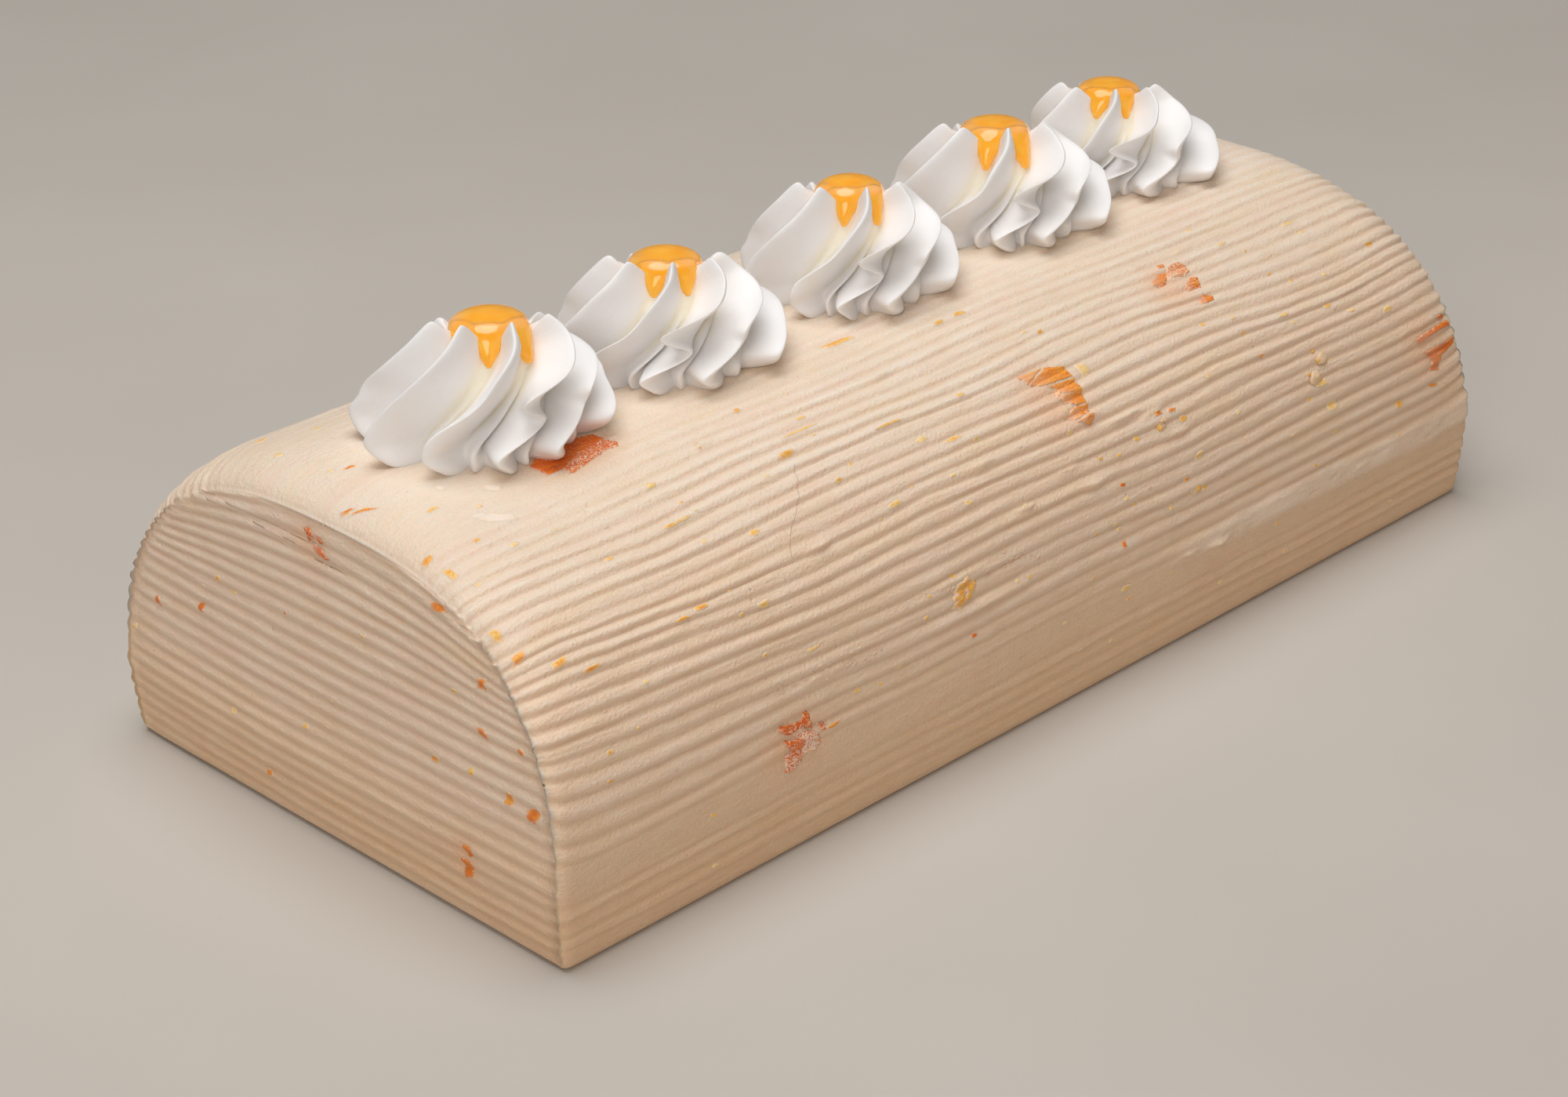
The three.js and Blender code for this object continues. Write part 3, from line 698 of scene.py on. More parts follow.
def coat_arcs():
    """Arcs of the coat's rows on one side, locked to the comb's teeth."""
    step = COMB_PITCH / ROWS_PER_TOOTH
    foot = [LOWEST_ARC + k * (FOOT_ARC - LOWEST_ARC) / FOOT_ROWS for k in range(FOOT_ROWS)]
    first = COMB_FIRST_ARC - step * math.floor((COMB_FIRST_ARC - FOOT_ARC) / step)
    combed = list(np.arange(first, COMB_FADE_END, step))
    count = math.ceil((TOP_ARC - combed[-1]) / TOP_ROW)
    if (len(foot) + len(combed) + count) % 2 == 0:
        count += 1
    top = list(np.linspace(combed[-1], TOP_ARC, count + 1)[1:])
    return np.array(foot + combed + top)


def station_shares():
    """Places along the roll, from -1 at one end face to 1 at the other."""
    near = HALF_LENGTH - np.array(END_STATIONS)
    steps = int(2 * near[-1] / STATION_STEP)
    middle = np.linspace(-near[-1], near[-1], steps)[1:-1]
    return np.concatenate([-near, middle, near[::-1]]) / HALF_LENGTH


def coat_side(side, shares, arcs):
    """Grid of points of one long side, with its lay, painted shade for its grooves, blush and how far it is
    spread smooth.
    """
    share, arc = np.meshgrid(shares, arcs, indexing="ij")
    plain_z = outline(arc)[1]
    reach = end_reach(plain_z)
    x = share * reach
    inset = reach - np.abs(x)
    wandered = np.clip(arc + comb_wander(side, x, arc), None, TOP_ARC)
    wandered = np.where(arc >= TOP_ARC, TOP_ARC, wandered)
    combed = comb_relief(side, x, arc)
    crest = np.clip((combed + 0.2) / COMB_DEPTH, 0, 1)
    bead = bead_share(x, arc) if side < 0 else np.zeros_like(x)
    relief = side_relief(side, x, arc, wandered) * smoothstep(arc, LOWEST_ARC, FOOT_ARC + 1.5)
    hollow, blush = fruit_hollow(side, x, wandered, SIDE_FRUIT)
    relief = relief - hollow * smoothstep(inset, 0.3, 1.5)
    corner = np.exp(-inset / CORNER_REACH)
    lip = END_LIP + END_LIP_CREST * crest + uneven("end_lip", arc, share * 3, side)
    lip = np.where(np.abs(share) >= 1, lip, 0)
    lip = lip * smoothstep(arc, FOOT_ARC - 1, FOOT_ARC + 2) * (1 - smoothstep(arc, *END_LIP_FADE))
    edge_share = 1 - np.exp(-inset / 3) * smoothstep(arc, *EDGE_SMOOTH_ARCS)
    relief = (relief + corner * (0.25 * crest - 0.1)) * edge_share
    relief = relief - BEAD_SMOOTHING * bead * (combed - 0.1)
    points = side_point(side, x + np.sign(share) * lip, wandered, relief)
    around = wandered if side < 0 else 2 * TOP_ARC - wandered
    lay = np.stack([x, around, np.zeros_like(x)], -1)
    spread = np.clip(smoothstep(wandered, *SPREAD_ARCS) + BEAD_PALENESS * bead, 0, 1)
    # Painted shade: the share that darkens the grooves between comb crests, none on the bead
    return points, lay, (1 - crest) * (1 - bead), blush, spread


def end_cap(ring_points, sign, columns, first):
    """Combed end face between the front and back ends of a ring of coat rows."""
    front, back = (line[:-1] for line in ring_points)
    chord = back[:, 1] - front[:, 1]
    inner = np.linspace(0, 1, columns - 1)[1:-1]
    edge = np.minimum(CAP_RIM / chord, 0.01)[:, None]
    wide = np.minimum(1 / chord, 0.03)[:, None]
    share = np.concatenate([edge, wide + (1 - 2 * wide) * inner[None, :], 1 - edge], axis=1)
    y = front[:, 1:2] + chord[:, None] * share
    z = np.maximum.accumulate(front[:, 2:3] + (back[:, 2:3] - front[:, 2:3]) * share, axis=0)
    away = np.minimum(share, 1 - share) * chord[:, None]
    groove = CAP_GROOVE * np.exp(-away / 1.5) * (1 - smoothstep(z, *CAP_GROOVE_FADE))
    relief = end_relief(sign, y, z) * smoothstep(away, 0, 2.5) - groove
    hollow, blush = fruit_hollow(sign, y, z, END_FRUIT)
    relief = relief - hollow
    z = np.maximum(z, 0)
    points = end_point(sign, y, z, relief * smoothstep(z, 0, 2))
    lay = np.stack([y, z, np.full_like(y, sign * END_LAY)], -1)
    # Painted shade in the end face's grooves
    groove_shade = np.clip(0.5 - relief / END_COMB_DEPTH, 0, 1) * 0.8
    spread = 0.2 * smoothstep(z, 50, 62)
    return points, lay, groove_shade, blush, spread, grid_faces(*y.shape, first)


def make_coat(material):
    arcs, shares = coat_arcs(), station_shares()
    front = coat_side(-1, shares, arcs)
    back = coat_side(1, shares, arcs[::2])
    sheets = [[np.concatenate([a, b[:, :-1][:, ::-1]], axis=1) for a, b in zip(front, back)]]
    stations, ring = sheets[0][2].shape
    faces = grid_faces(stations, ring)
    last = len(arcs) - 2
    floor_edges = []
    for sign, columns, station in ((-1, NEAR_END_COLUMNS, 0), (1, FAR_END_COLUMNS, stations - 1)):
        front_edge, coarse = front[0][station], back[0][station]
        back_edge = np.zeros_like(front_edge)
        back_edge[::2] = coarse
        back_edge[1::2] = (coarse[:-1] + coarse[1:]) / 2
        first = sum(sheet[2].size for sheet in sheets)
        *sheet, cap_faces = end_cap((front_edge, back_edge), sign, columns, first)
        sheets.append(sheet)
        cap = (first + np.arange(sheet[2].size).reshape(sheet[2].shape)).tolist()
        rim = list(range(station * ring, station * ring + ring))
        top = rim[last + 1]
        faces += cap_faces
        for row in range(last):
            faces.append([rim[row], rim[row + 1], cap[row + 1][0], cap[row][0]])
        for k in range(last // 2):
            faces.append([*[line[-1] for line in cap[2 * k : 2 * k + 3]], rim[-2 - k], rim[-1 - k]])
        faces.append([cap[last][-1], top, rim[-1 - last // 2]])
        faces.append([rim[last], top, cap[last][0]])
        for a, b in zip(cap[last], cap[last][1:]):
            faces.append([a, top, b])
        floor_edges.append([rim[0], *cap[0], rim[-1]][::sign])
    front_foot = range(ring, (stations - 1) * ring, ring)
    back_foot = [k + ring - 1 for k in reversed(front_foot)]
    faces.append([*floor_edges[0], *front_foot, *floor_edges[1], *back_foot])
    points, lay = (np.concatenate([sheet[k].reshape(-1, 3) for sheet in sheets]) for k in (0, 1))
    # groove carries the painted shade of the comb's grooves
    groove, blush, spread = (np.concatenate([sheet[k].ravel() for sheet in sheets]) for k in (2, 3, 4))
    # Painted shade: the coat darkens and warms towards the bottom, less where the cream is spread smooth
    low = (1 - smoothstep(points[:, 2], *LOW_SHADE_HEIGHTS)) * (1 - 0.7 * spread)
    coat_shares = {"groove": groove, "blush": blush, "spread": spread, "low": low}
    coat = make_piece("cream_coat", points, faces, lay, coat_shares)
    face_outwards(coat)
    settle(coat, "cream_coat", material, "cream_roll")


# Mango pieces


def plain_arc(side, x, wandered):
    """Unwandered arc of a place on a long side."""
    arc = wandered
    for _ in range(4):
        arc = wandered - comb_wander(side, x, arc)
    return arc


def make_fruit(piece, index, material):
    reach_u, reach_v = piece["reach"]
    columns, rows = int(2 * reach_u / FRUIT_STEP), int(2 * reach_v / FRUIT_STEP)
    across, upwards = np.linspace(-reach_u, reach_u, columns), np.linspace(-reach_v, reach_v, rows)
    u, v = np.meshgrid(across, upwards, indexing="ij")
    along, up = fruit_place(piece, u, v)
    side = piece["side"]
    bare, crumbly, veil = fruit_cover(piece, u, v)
    edge = smoothstep((np.abs(u / reach_u) ** 5 + np.abs(v / reach_v) ** 5) ** 0.2, 0.9, 1)
    speck = uneven("speck", u, v, index) + uneven("broad_speck", u, v, index)
    crumb = smoothstep(speck, 1.1 - 1.3 * crumbly, 1.5 - 1.3 * crumbly)
    fibre = uneven("fibre", u, v, index)
    open_share = smoothstep(bare, *FRUIT_OPENING)
    covered = 1 - open_share * (1 - smoothstep(veil, *FRUIT_VEILING))
    lift = FRUIT_PROUD + (fibre + FRUIT_CRUMB_RISE * crumb) * bare - FRUIT_SUNK * covered
    if "arc" in piece:
        arc = plain_arc(side, along, up)
        out = side_relief(side, along, arc, up) + lift
        level = np.minimum(up, TOP_ARC)
        sink = np.clip(np.abs(along) - end_reach(outline(level)[1]) + FRUIT_END_GAP, 0, None)
        out = out - edge - sink
        top = side_point(side, along, level, out)
        under = side_point(side, along, level, out - FRUIT_THICKNESS + edge)
    else:
        out = end_relief(side, along, up) + lift - edge
        top = end_point(side, along, up, out)
        under = end_point(side, along, up, out - FRUIT_THICKNESS + edge)
    film = np.clip(FRUIT_CRUMB_FILM * crumb + veil + 1 - open_share, 0, 1)
    count = columns * rows
    faces = grid_faces(columns, rows) + [face[::-1] for face in grid_faces(columns, rows, count)]
    rim = [*range(0, rows), *range(2 * rows - 1, count, rows)]
    rim += [*range(count - 2, count - rows - 1, -1), *range(count - 2 * rows, 0, -rows)]
    for a, b in zip(rim, rim[1:] + rim[:1]):
        faces.append([b, a, a + count, b + count])
    points = np.concatenate([top.reshape(-1, 3), under.reshape(-1, 3)])
    lay = np.concatenate([np.stack([u, v, np.full_like(u, index * FRUIT_LAY)], -1).reshape(-1, 3)] * 2)
    shares = {"film": film, "hue": np.full_like(u, piece["hue"]), "crumbly": crumbly}
    shares = {key: np.tile(values.ravel(), 2) for key, values in shares.items()}
    flesh = make_piece(f"mango_flesh_{index}", points, faces, lay, shares)
    face_outwards(flesh)
    settle(flesh, "mango_flesh", material, f"mango_piece_{index}")


# Rosettes


def crown_point(place, degrees, radius, rise):
    """Place on a rosette's crown at an angle round it, with the crown's shift and tilt."""
    angle, facing = math.radians(degrees), math.radians(place["facing"])
    height = (rise + CROWN_TILT * math.cos(angle - facing) * radius) * place["tall"]
    middle = Vector((place["x"], place["y"], CAKE_HEIGHT + height))
    middle += place["shift"] * Vector((-math.sin(facing), math.cos(facing), 0))
    return middle + Vector((math.cos(angle), math.sin(angle), 0)) * radius * place["size"]


def level_values(level):
    """The table of levels at a place between two of them, on a smooth line through the table."""
    table = np.concatenate([ROSETTE_LEVELS[:1], ROSETTE_LEVELS, ROSETTE_LEVELS[-1:]])
    index = min(int(level), len(ROSETTE_LEVELS) - 2)
    t = level - index
    a, b, c, d = table[index : index + 4]
    return 0.5 * (2 * b + (c - a) * t + (2 * a - 5 * b + 4 * c - d) * t**2 + (3 * b - a - 3 * c + d) * t**3)


def crest_angles(place, sweep):
    """Angle of each petal's crest, in degrees, and that of the next one round."""
    count = len(PETALS)
    drift = PETAL_DRIFT * np.sin(np.arange(count) * 1.7 + place["x"])
    crest = PETALS[:, 0] + sweep * (PETALS[:, 1] - PETALS[:, 0]) + drift + place["facing"] + place["turn"]
    return crest, np.append(crest[1:], crest[0] + 360)


def round_hill(place):
    """From 1 at a hill's top to 0 at its foot, a unit to either side."""
    return 0.5 + 0.5 * np.cos(math.pi * np.clip(place, -1, 1))


def petal_stand(share, pleat, sharpness):
    """How far out the edge of a petal stands at a share of its arc: a broad gentle side and a steep one."""
    gentle = round_hill(share / GENTLE_SIDE) ** (GENTLE_POWER * sharpness)
    steep = round_hill((1 - share) / STEEP_SIDE) ** (STEEP_POWER * sharpness)
    tuck = pleat * round_hill((share - PLEAT_PLACE) / PLEAT_HALF) ** sharpness
    return np.maximum(np.maximum(gentle, steep), tuck), np.maximum(gentle, steep)


def rosette_row(place, level, index):
    crest, rise, valley, valley_rise, pleat, sweep, lean, sharpness = level_values(level)
    crest_angle, next_angle = crest_angles(place, sweep)
    steps = np.arange(PETAL_COLUMNS) / PETAL_COLUMNS
    petal, step = np.meshgrid(np.arange(len(PETALS)), steps, indexing="ij")
    share = step - PETAL_EASE / (2 * math.pi) * np.sin(2 * math.pi * step)
    following = (petal + 1) % len(PETALS)
    swell = PETALS[petal, 2] * (1 - share) + PETALS[following, 2] * share
    stand, out = petal_stand(share, pleat * PETALS[petal, 3], sharpness)
    around = (petal + share) * PETAL_BUMPS
    full_round = len(PETALS) * PETAL_BUMPS
    blend = smoothstep(around, 0, 1) * (1 - smoothstep(around, full_round - 1, full_round))
    ripple = uneven("petal_ripple", around, level * 1.6, index) * blend
    wobble = uneven("petal_wobble", around, level * 0.9, index) * blend
    fold = PETALS[petal, 4] * (1 - share) + PETALS[following, 4] * share
    fold_out = math.exp(-(((level - FOLD_OUT) / FOLD_LEVELS) ** 2))
    fold_in = math.exp(-(((level - FOLD_IN) / FOLD_LEVELS) ** 2))
    pocket = FOLD_DEPTH * fold_in * np.clip(fold / FOLD_FULL, 0, 1) * out
    radius = (valley + (crest * swell - valley) * stand + ripple - pocket) * place["size"]
    degrees = crest_angle[petal] + share * (next_angle - crest_angle)[petal] + wobble
    degrees = degrees + (lean + fold * (fold_in - fold_out)) * out
    angle = np.radians(degrees)
    facing = math.radians(place["facing"])
    crown = smoothstep(level, *CROWN_TILT_LEVELS)
    front = np.cos(angle - facing) * radius
    tilt = np.where(front > 0, CROWN_TILT, BACK_TILT)
    height = valley_rise + (rise - valley_rise) * stand + tilt * front * crown
    shift = place["shift"] * crown
    x = place["x"] + radius * np.cos(angle) - shift * math.sin(facing)
    y = place["y"] + radius * np.sin(angle) + shift * math.cos(facing)
    z = CAKE_HEIGHT + height * place["tall"]
    lay = np.stack([around, stand * 8, np.full_like(around, level * 4)], -1)
    return np.stack([x, y, z], -1).reshape(-1, 3), stand.ravel(), lay.reshape(-1, 3)


def make_rosette(place, index, material):
    top_level = len(ROSETTE_LEVELS) - 1
    rows = [rosette_row(place, level, index) for level in np.linspace(0, top_level, PETAL_ROWS)]
    points = [row[0] for row in rows]
    stand = [row[1] for row in rows]
    lay = [row[2] for row in rows]
    count = len(points[0])
    hollow = np.array(crown_point(place, place["facing"], 0, CROWN_HOLLOW_RISE))
    foot = np.array([place["x"], place["y"], CAKE_HEIGHT + ROSETTE_LEVELS[0][1] * place["tall"]])
    for share in CROWN_HOLLOW_RINGS:
        points.append(points[PETAL_ROWS - 1] * (1 - share) + hollow * share)
        stand.append(stand[PETAL_ROWS - 1] * (1 - share))
        lay.append(lay[PETAL_ROWS - 1])
    faces = grid_faces(len(points), count, wrap=True)
    last = (len(points) - 1) * count
    total = len(points) * count
    for k in range(count):
        after = (k + 1) % count
        faces.append([after, k, total])
        faces.append([last + k, last + after, total + 1])
    points = np.concatenate([*points, [foot], [hollow]])
    lay = np.concatenate([*lay, [[0, 0, 0]], [[0, 0, 0]]])
    stand = np.concatenate([*stand, [0], [0]])
    rosette = make_piece(f"whipped_rosette_{index}", points, faces, lay, {"stand": stand})
    face_outwards(rosette)
    settle(rosette, "whipped_cream", material, f"rosette_{index}")


# Jelly


def jelly_ball(centre, size, turn=0):
    """A round lump at a place, with a radius along each of its turned axes."""
    bpy.ops.mesh.primitive_uv_sphere_add(segments=32, ring_count=20, radius=MM, location=(0, 0, 0))
    lump = bpy.context.active_object
    bpy.ops.object.mode_set(mode="EDIT")
    bpy.ops.mesh.select_all(action="SELECT")
    bpy.ops.transform.resize(value=size)
    bpy.ops.object.mode_set(mode="OBJECT")
    lump.data.transform(Matrix.Translation(Vector(centre) * MM) @ Matrix.Rotation(turn, 4, "Z"))
    return lump


def jelly_lumps(place):
    """Loose lumps for a rosette's crown of jelly and for its runs down the valleys."""
    size, tall = place["size"], place["tall"]
    dome_half = (JELLY_TOP_RISE - JELLY_EDGE_RISE) * tall
    centre = crown_point(place, place["facing"], 0, JELLY_EDGE_RISE)
    lumps = [jelly_ball(centre, (JELLY_RADIUS * size, JELLY_RADIUS * size, dome_half))]
    crest_angle, next_angle = crest_angles(place, JELLY_VALLEY_SWEEP)
    for petal, reach in JELLY_RUNS:
        valley = JELLY_VALLEY_SHARE * (next_angle - crest_angle)[petal]
        degrees = crest_angle[petal] + valley + JELLY_RUN_TURN
        for radius, rise, across, deep in JELLY_RUN_LUMPS:
            fall = JELLY_RUN_TOP - rise
            run = 1 + (place["run"] - 1) * fall / JELLY_RUN_TOP * JELLY_RUN_STRETCH
            lump_rise = JELLY_RUN_TOP - fall * run
            centre = crown_point(place, degrees, radius * reach * run**0.5, lump_rise)
            half_sizes = (JELLY_RUN_LENGTH * size, across * size, deep * tall)
            lumps.append(jelly_ball(centre, half_sizes, math.radians(degrees)))
    return lumps


def melt_together(lumps, name):
    """One smooth piece from loose lumps."""
    bpy.ops.object.select_all(action="DESELECT")
    for lump in lumps:
        lump.select_set(True)
    bpy.context.view_layer.objects.active = lumps[0]
    bpy.ops.object.join()
    jelly = bpy.context.active_object
    jelly.name = jelly.data.name = name
    melt = jelly.modifiers.new("melt", "REMESH")
    melt.mode = "VOXEL"
    melt.voxel_size = JELLY_VOXEL * MM
    bpy.ops.object.modifier_apply(modifier="melt")
    relax = jelly.modifiers.new("relax", "SMOOTH")
    relax.factor = 0.5
    relax.iterations = JELLY_SMOOTHING
    bpy.ops.object.modifier_apply(modifier="relax")
    return jelly


def mark_thin_jelly(jelly, place, index):
    """Marks how thin the jelly is towards its pale rim."""
    places = np.empty(len(jelly.data.vertices) * 3)
    jelly.data.vertices.foreach_get("co", places)
    middle = np.array(crown_point(place, place["facing"], 0, JELLY_EDGE_RISE))
    offset = places.reshape(-1, 3) / MM - middle
    facing = math.radians(place["facing"])
    over = offset[:, 2] - CROWN_TILT * (offset[:, 0] * math.cos(facing) + offset[:, 1] * math.sin(facing))
    away = np.hypot(offset[:, 0], offset[:, 1])
    thin = smoothstep(away, *JELLY_THIN_REACH) * smoothstep(over, *JELLY_THIN_RISE)
    thin = thin * (JELLY_THIN_SHARE + uneven("thin_jelly", offset[:, 0], offset[:, 1], index))
    jelly.data.attributes.new("thin", "FLOAT", "POINT").data.foreach_set("value", thin.astype(np.float32))


def make_jelly(place, index, material):
    jelly = melt_together(jelly_lumps(place), f"jelly_crown_{index}")
    mark_thin_jelly(jelly, place, index)
    face_outwards(jelly)
    settle(jelly, "mango_jelly", material, f"mango_jelly_{index}")


# Flecks and crumbs

# Yellow and orange flecks on the front: place along the roll, arc, length, width, how orange
FRONT_FLECKS = [
    (-71, 48, 2.6, 1.3, 0.3),
    (-53, 59.6, 4.4, 1.2, 0.3),
    (-90, 39.7, 3, 1, 0.45),
    (-95, 39.2, 3, 0.7, 0.35),
    (-117.5, 38.2, 4.5, 0.9, 0.4),
    (-123, 42, 2.8, 1.2, 0.4),
    (-132.5, 47.5, 2.6, 2, 0.5),
    (-133.5, 53.5, 1.4, 3, 0.3),
    (-17, 48.5, 4.6, 0.9, 0.25),
    (-28, 56.6, 6.5, 0.7, 0.2),
    (-8.5, 56, 2, 0.9, 0.2),
    (-46, 63.3, 8, 0.6, 0.2),
    (-43.5, 66, 2.4, 0.8, 0.2),
    (-82.5, 65.5, 2, 1.2, 0.1),
    (-86, 55.8, 3, 0.7, 0.2),
    (-83, 56, 3.5, 0.6, 0.2),
    (-101.5, 55, 1.6, 0.7, 0.3),
    (-24, 51, 2.4, 1.2, 0.05),
    (-38.5, 41.7, 2.6, 1, 0.2),
    (-47, 50.4, 1.8, 0.8, 0.2),
    (-80.5, 26.7, 1.3, 0.7, 0.2),
    (-69, 23.7, 3, 0.6, 0.2),
    (-40, 19, 1.2, 0.9, 0.3),
    (-28, 11, 1.6, 0.9, 0.9),
    (-67, 7.6, 3.4, 0.8, 0.6),
    (-21.5, 36, 1.8, 1, 0.1),
    (-77, 35.3, 2.4, 1.2, 0.1),
    (-82.5, 35.2, 1.2, 0.7, 0.2),
    (-120, 70.5, 1.4, 1, 0.4),
    (-131, 74, 2, 1.4, 0.5),
    (-128, 68.5, 1.2, 3, 0.3),
    (-120, 82.7, 2.4, 1, 0.3),
    (-113, 77.8, 1, 0.7, 0.2),
    (-52, 74.5, 1.3, 0.8, 0.5),
    (-18, 81.5, 9, 1.6, 0.35),
    (10.5, 75, 3, 1.1, 0.35),
    (4.5, 74.8, 2.6, 0.9, 0.2),
    (23, 50.6, 2.2, 2.6, 0.05),
    (18, 63.6, 1.4, 0.8, 0.1),
    (10.8, 39.8, 1.5, 1, 0.1),
    (27, 33, 1.6, 1, 0.3),
    (35, 35.9, 2, 0.9, 0.7),
    (38.8, 35.2, 2.4, 0.8, 0.7),
    (41.3, 32.6, 1.9, 1.1, 0.45),
    (43, 24.3, 2.2, 1.5, 0.2),
    (38, 20.7, 1.6, 1, 0.5),
    (42.8, 17.4, 1.4, 1.5, 0.25),
    (19.2, 25.8, 1.9, 1.1, 0.85),
    (16, 17.5, 1.1, 0.6, 0.1),
    (16.8, 14, 1, 1.4, 0.8),
    (17, 4.2, 3.2, 1, 0.2),
    (18.2, 1.6, 1.6, 0.8, 0.3),
    (32, 16.6, 1, 1.2, 0.2),
    (79, 71.3, 2.6, 1, 0.1),
    (81, 63.8, 3, 0.9, 0.1),
    (81, 43.2, 2.6, 0.8, 0.1),
    (95, 41, 2.4, 0.8, 0.3),
    (101, 38, 2, 0.7, 0.1),
    (69.6, 37.3, 1.4, 0.9, 0.6),
    (103, 58.6, 2, 0.9, 0.1),
    (102, 62, 4, 0.8, 0.1),
    (111.5, 34.8, 2.4, 1.1, 0.2),
    (86.5, 21, 3, 1.6, 0.1),
    (87, 15, 2.6, 0.8, 0.1),
    (109, 14, 2.4, 1.3, 0.35),
    (121.5, 14.5, 3, 0.6, 0.6),
    (117, 49.5, 2.6, 1, 0.35),
    (84.5, 26.5, 3.2, 1.1, 0.2),
]
# Larger crumbs of cream with yellow in them: place, arc, size
FRONT_CRUMBS = [
    (34.8, 33.3, 3),
    (40.6, 17.6, 3.4),
    (83, 28.2, 3.8),
    (86.5, 31.4, 3.6),
    (-7.8, 30.2, 2.2),
    (-66.5, 69.9, 1.8),
    (46, 4.8, 2.6),
    (15.5, 32.7, 1.2),
]
# Lines along which the cream is torn into fine crumbs: both ends, and the number of crumbs
TORN_LINES = [
    ((-34, 22.6), (-6, 21.6), 26),
    ((-80, 19.2), (-52, 17), 24),
    ((-73, 19), (-58, 20), 12),
]
# Scrambled yellow lump low on the front: its middle, and each part's place, length, width and turn
YELLOW_LUMP = (-29, 20.4)
YELLOW_LUMP_PARTS = [
    (-1.5, -1.3, 2.6, 2.0, 20),
    (-1.0, 0.6, 2.2, 2.2, -30),
    (0.3, 1.6, 2.8, 1.7, 15),
    (1.4, 0.4, 2.2, 1.9, -15),
    (0.6, -1.2, 2.2, 1.3, 35),
    (2.6, 0.9, 1.8, 0.9, 8),
    (-2.6, -0.4, 1.2, 0.9, 0),
]
# Red streaks over the top of the near end: place, arc, length, width, turn, how orange
TOP_STREAKS = [
    (-128.0, 93.7, 4.6, 0.5, -52, 0.7),
    (-130.2, 96.9, 2.6, 0.6, -45, 0.75),
    (-129.6, 96.9, 1.6, 0.3, -45, 0.5),
    (-126.6, 94.0, 3.0, 0.3, -52, 0.3),
]
# Flecks just over the top, on the back of the roll
BACK_FLECKS = [
    (-119.8, 93.2, 2.2, 1, 0.75),
    (-123, 76, 1.5, 1.3, 0.08),
    (-122.5, 91, 1.2, 0.9, 0.02),
    (-110.8, 72, 2, 1.5, 0.05),
    (-104, 80, 2, 0.8, 0.2),
]
# Flecks on the near end: across, height, length, width, how orange
END_FLECKS = [
    (-31.8, 61.2, 4.8, 1.5, 0.7),
    (-43.5, 50.5, 2.6, 2.0, 0.75),
    (-44, 41, 2.8, 2.0, 0.8),
    (-54, 41.2, 1.8, 1.3, 0.7),
    (-51, 31, 2.0, 2.4, 0.6),
    (-57.5, 30.3, 2.8, 3.2, 0.8),
    (-30.5, 31, 2.0, 1.3, 0.5),
    (-41, 32.5, 1.5, 1.6, 0.3),
    (33, 44.5, 1.6, 1.6, 0.3),
    (39, 36.5, 1.5, 1.8, 0.9),
    (53, 33, 1.6, 1.7, 0.9),
    (12.5, 44.6, 0.8, 0.9, 0.8),
    (7, 23.2, 1.6, 0.8, 0.3),
    (20, 8, 1.8, 1.3, 0.6),
    (-35.8, 46.4, 1.8, 1.0, 0.25),
    (-10.5, 48, 1.1, 0.6, 0.25),
    (-20, 52.5, 1.0, 0.5, 0.1),
    (-0.5, 31.3, 1.3, 0.6, 0.2),
    (0.5, 25.5, 1.2, 0.5, 0.15),
    (28.5, 43.2, 1.8, 0.6, 0.1),
    (38, 41.3, 0.9, 0.6, 0.15),
    (61, 24.7, 0.8, 1.2, 0.15),
    (29.5, 18, 1.6, 1.1, 0.0),
]
# Smears and drops of whipped cream by the first rosette: place, arc, length, width, turn
SMEARS = [
    (-112.8, 73.4, 7.5, 2.4, -38),
    (-114.8, 75.4, 3.2, 1.2, -30),
    (-106.9, 81.2, 3, 1.7, -50),
    (-114, 87.6, 1.5, 1.6, 0),
]
# Fine hair that lies over the front: places along the roll and their arcs
HAIR = [(-53.2, 57.2), (-55.5, 53.2), (-57.8, 50.2), (-61.2, 47.2), (-64.2, 44.8), (-66.8, 40.5)]
HAIR_RADIUS = 0.042
HAIR_STATIONS = 90
HAIR_SPOKES = 6
HAIR_SOFTENING = 12
# Rings of a fleck from its middle to its edge, and how it is laid in the skin
FLECK_RINGS = [0.18, 0.4, 0.62, 0.8, 0.93, 1.06, 1.18]
FLECK_SPOKES = 18
FLECK_SPREAD = 0.66
FLECK_CORNER_POWER = 0.7
FLECK_DEPTH = 0.7
FLECK_LIFT = 0.12
STREAK_LIFT = 0.1
END_FLECK_LIFT = 0.14
LUMP_LIFT = 0.42
# How far a fleck's edge wavers, and how fast it does so round the edge, broadly and finely
FLECK_WAVER = (0.34, 1.6)
FLECK_FINE_WAVER = (0.2, 4)
# Flecks scattered over the back: how many, and ranges of place, arc, length and width
BACK_FLECK_COUNT = 46
BACK_FLECK_RANGES = [(-128, 128), (-10, 74), (1, 4), (0.7, 1.4)]
# Finer scattered flecks: side, kind of face, how many, ranges of place, height and size, length and width
# for their size, rise and tones
FINE_FLECKS = [
    (1, "end", 16, [(-52, 52), (6, 46), (1, 2.4)], 1, 1.2, END_FLECK_LIFT, [0.2, 0.9]),
    (-1, "side", 70, [(-130, 130), (-12, 66), (0.4, 0.9)], 1.8, 1, 0.08, [0.05, 0.3]),
]
# Seed of the draws that scatter the flecks, and the seed of the first fleck's edge
FLECK_DRAWS = 7
FLECK_SEED = 300
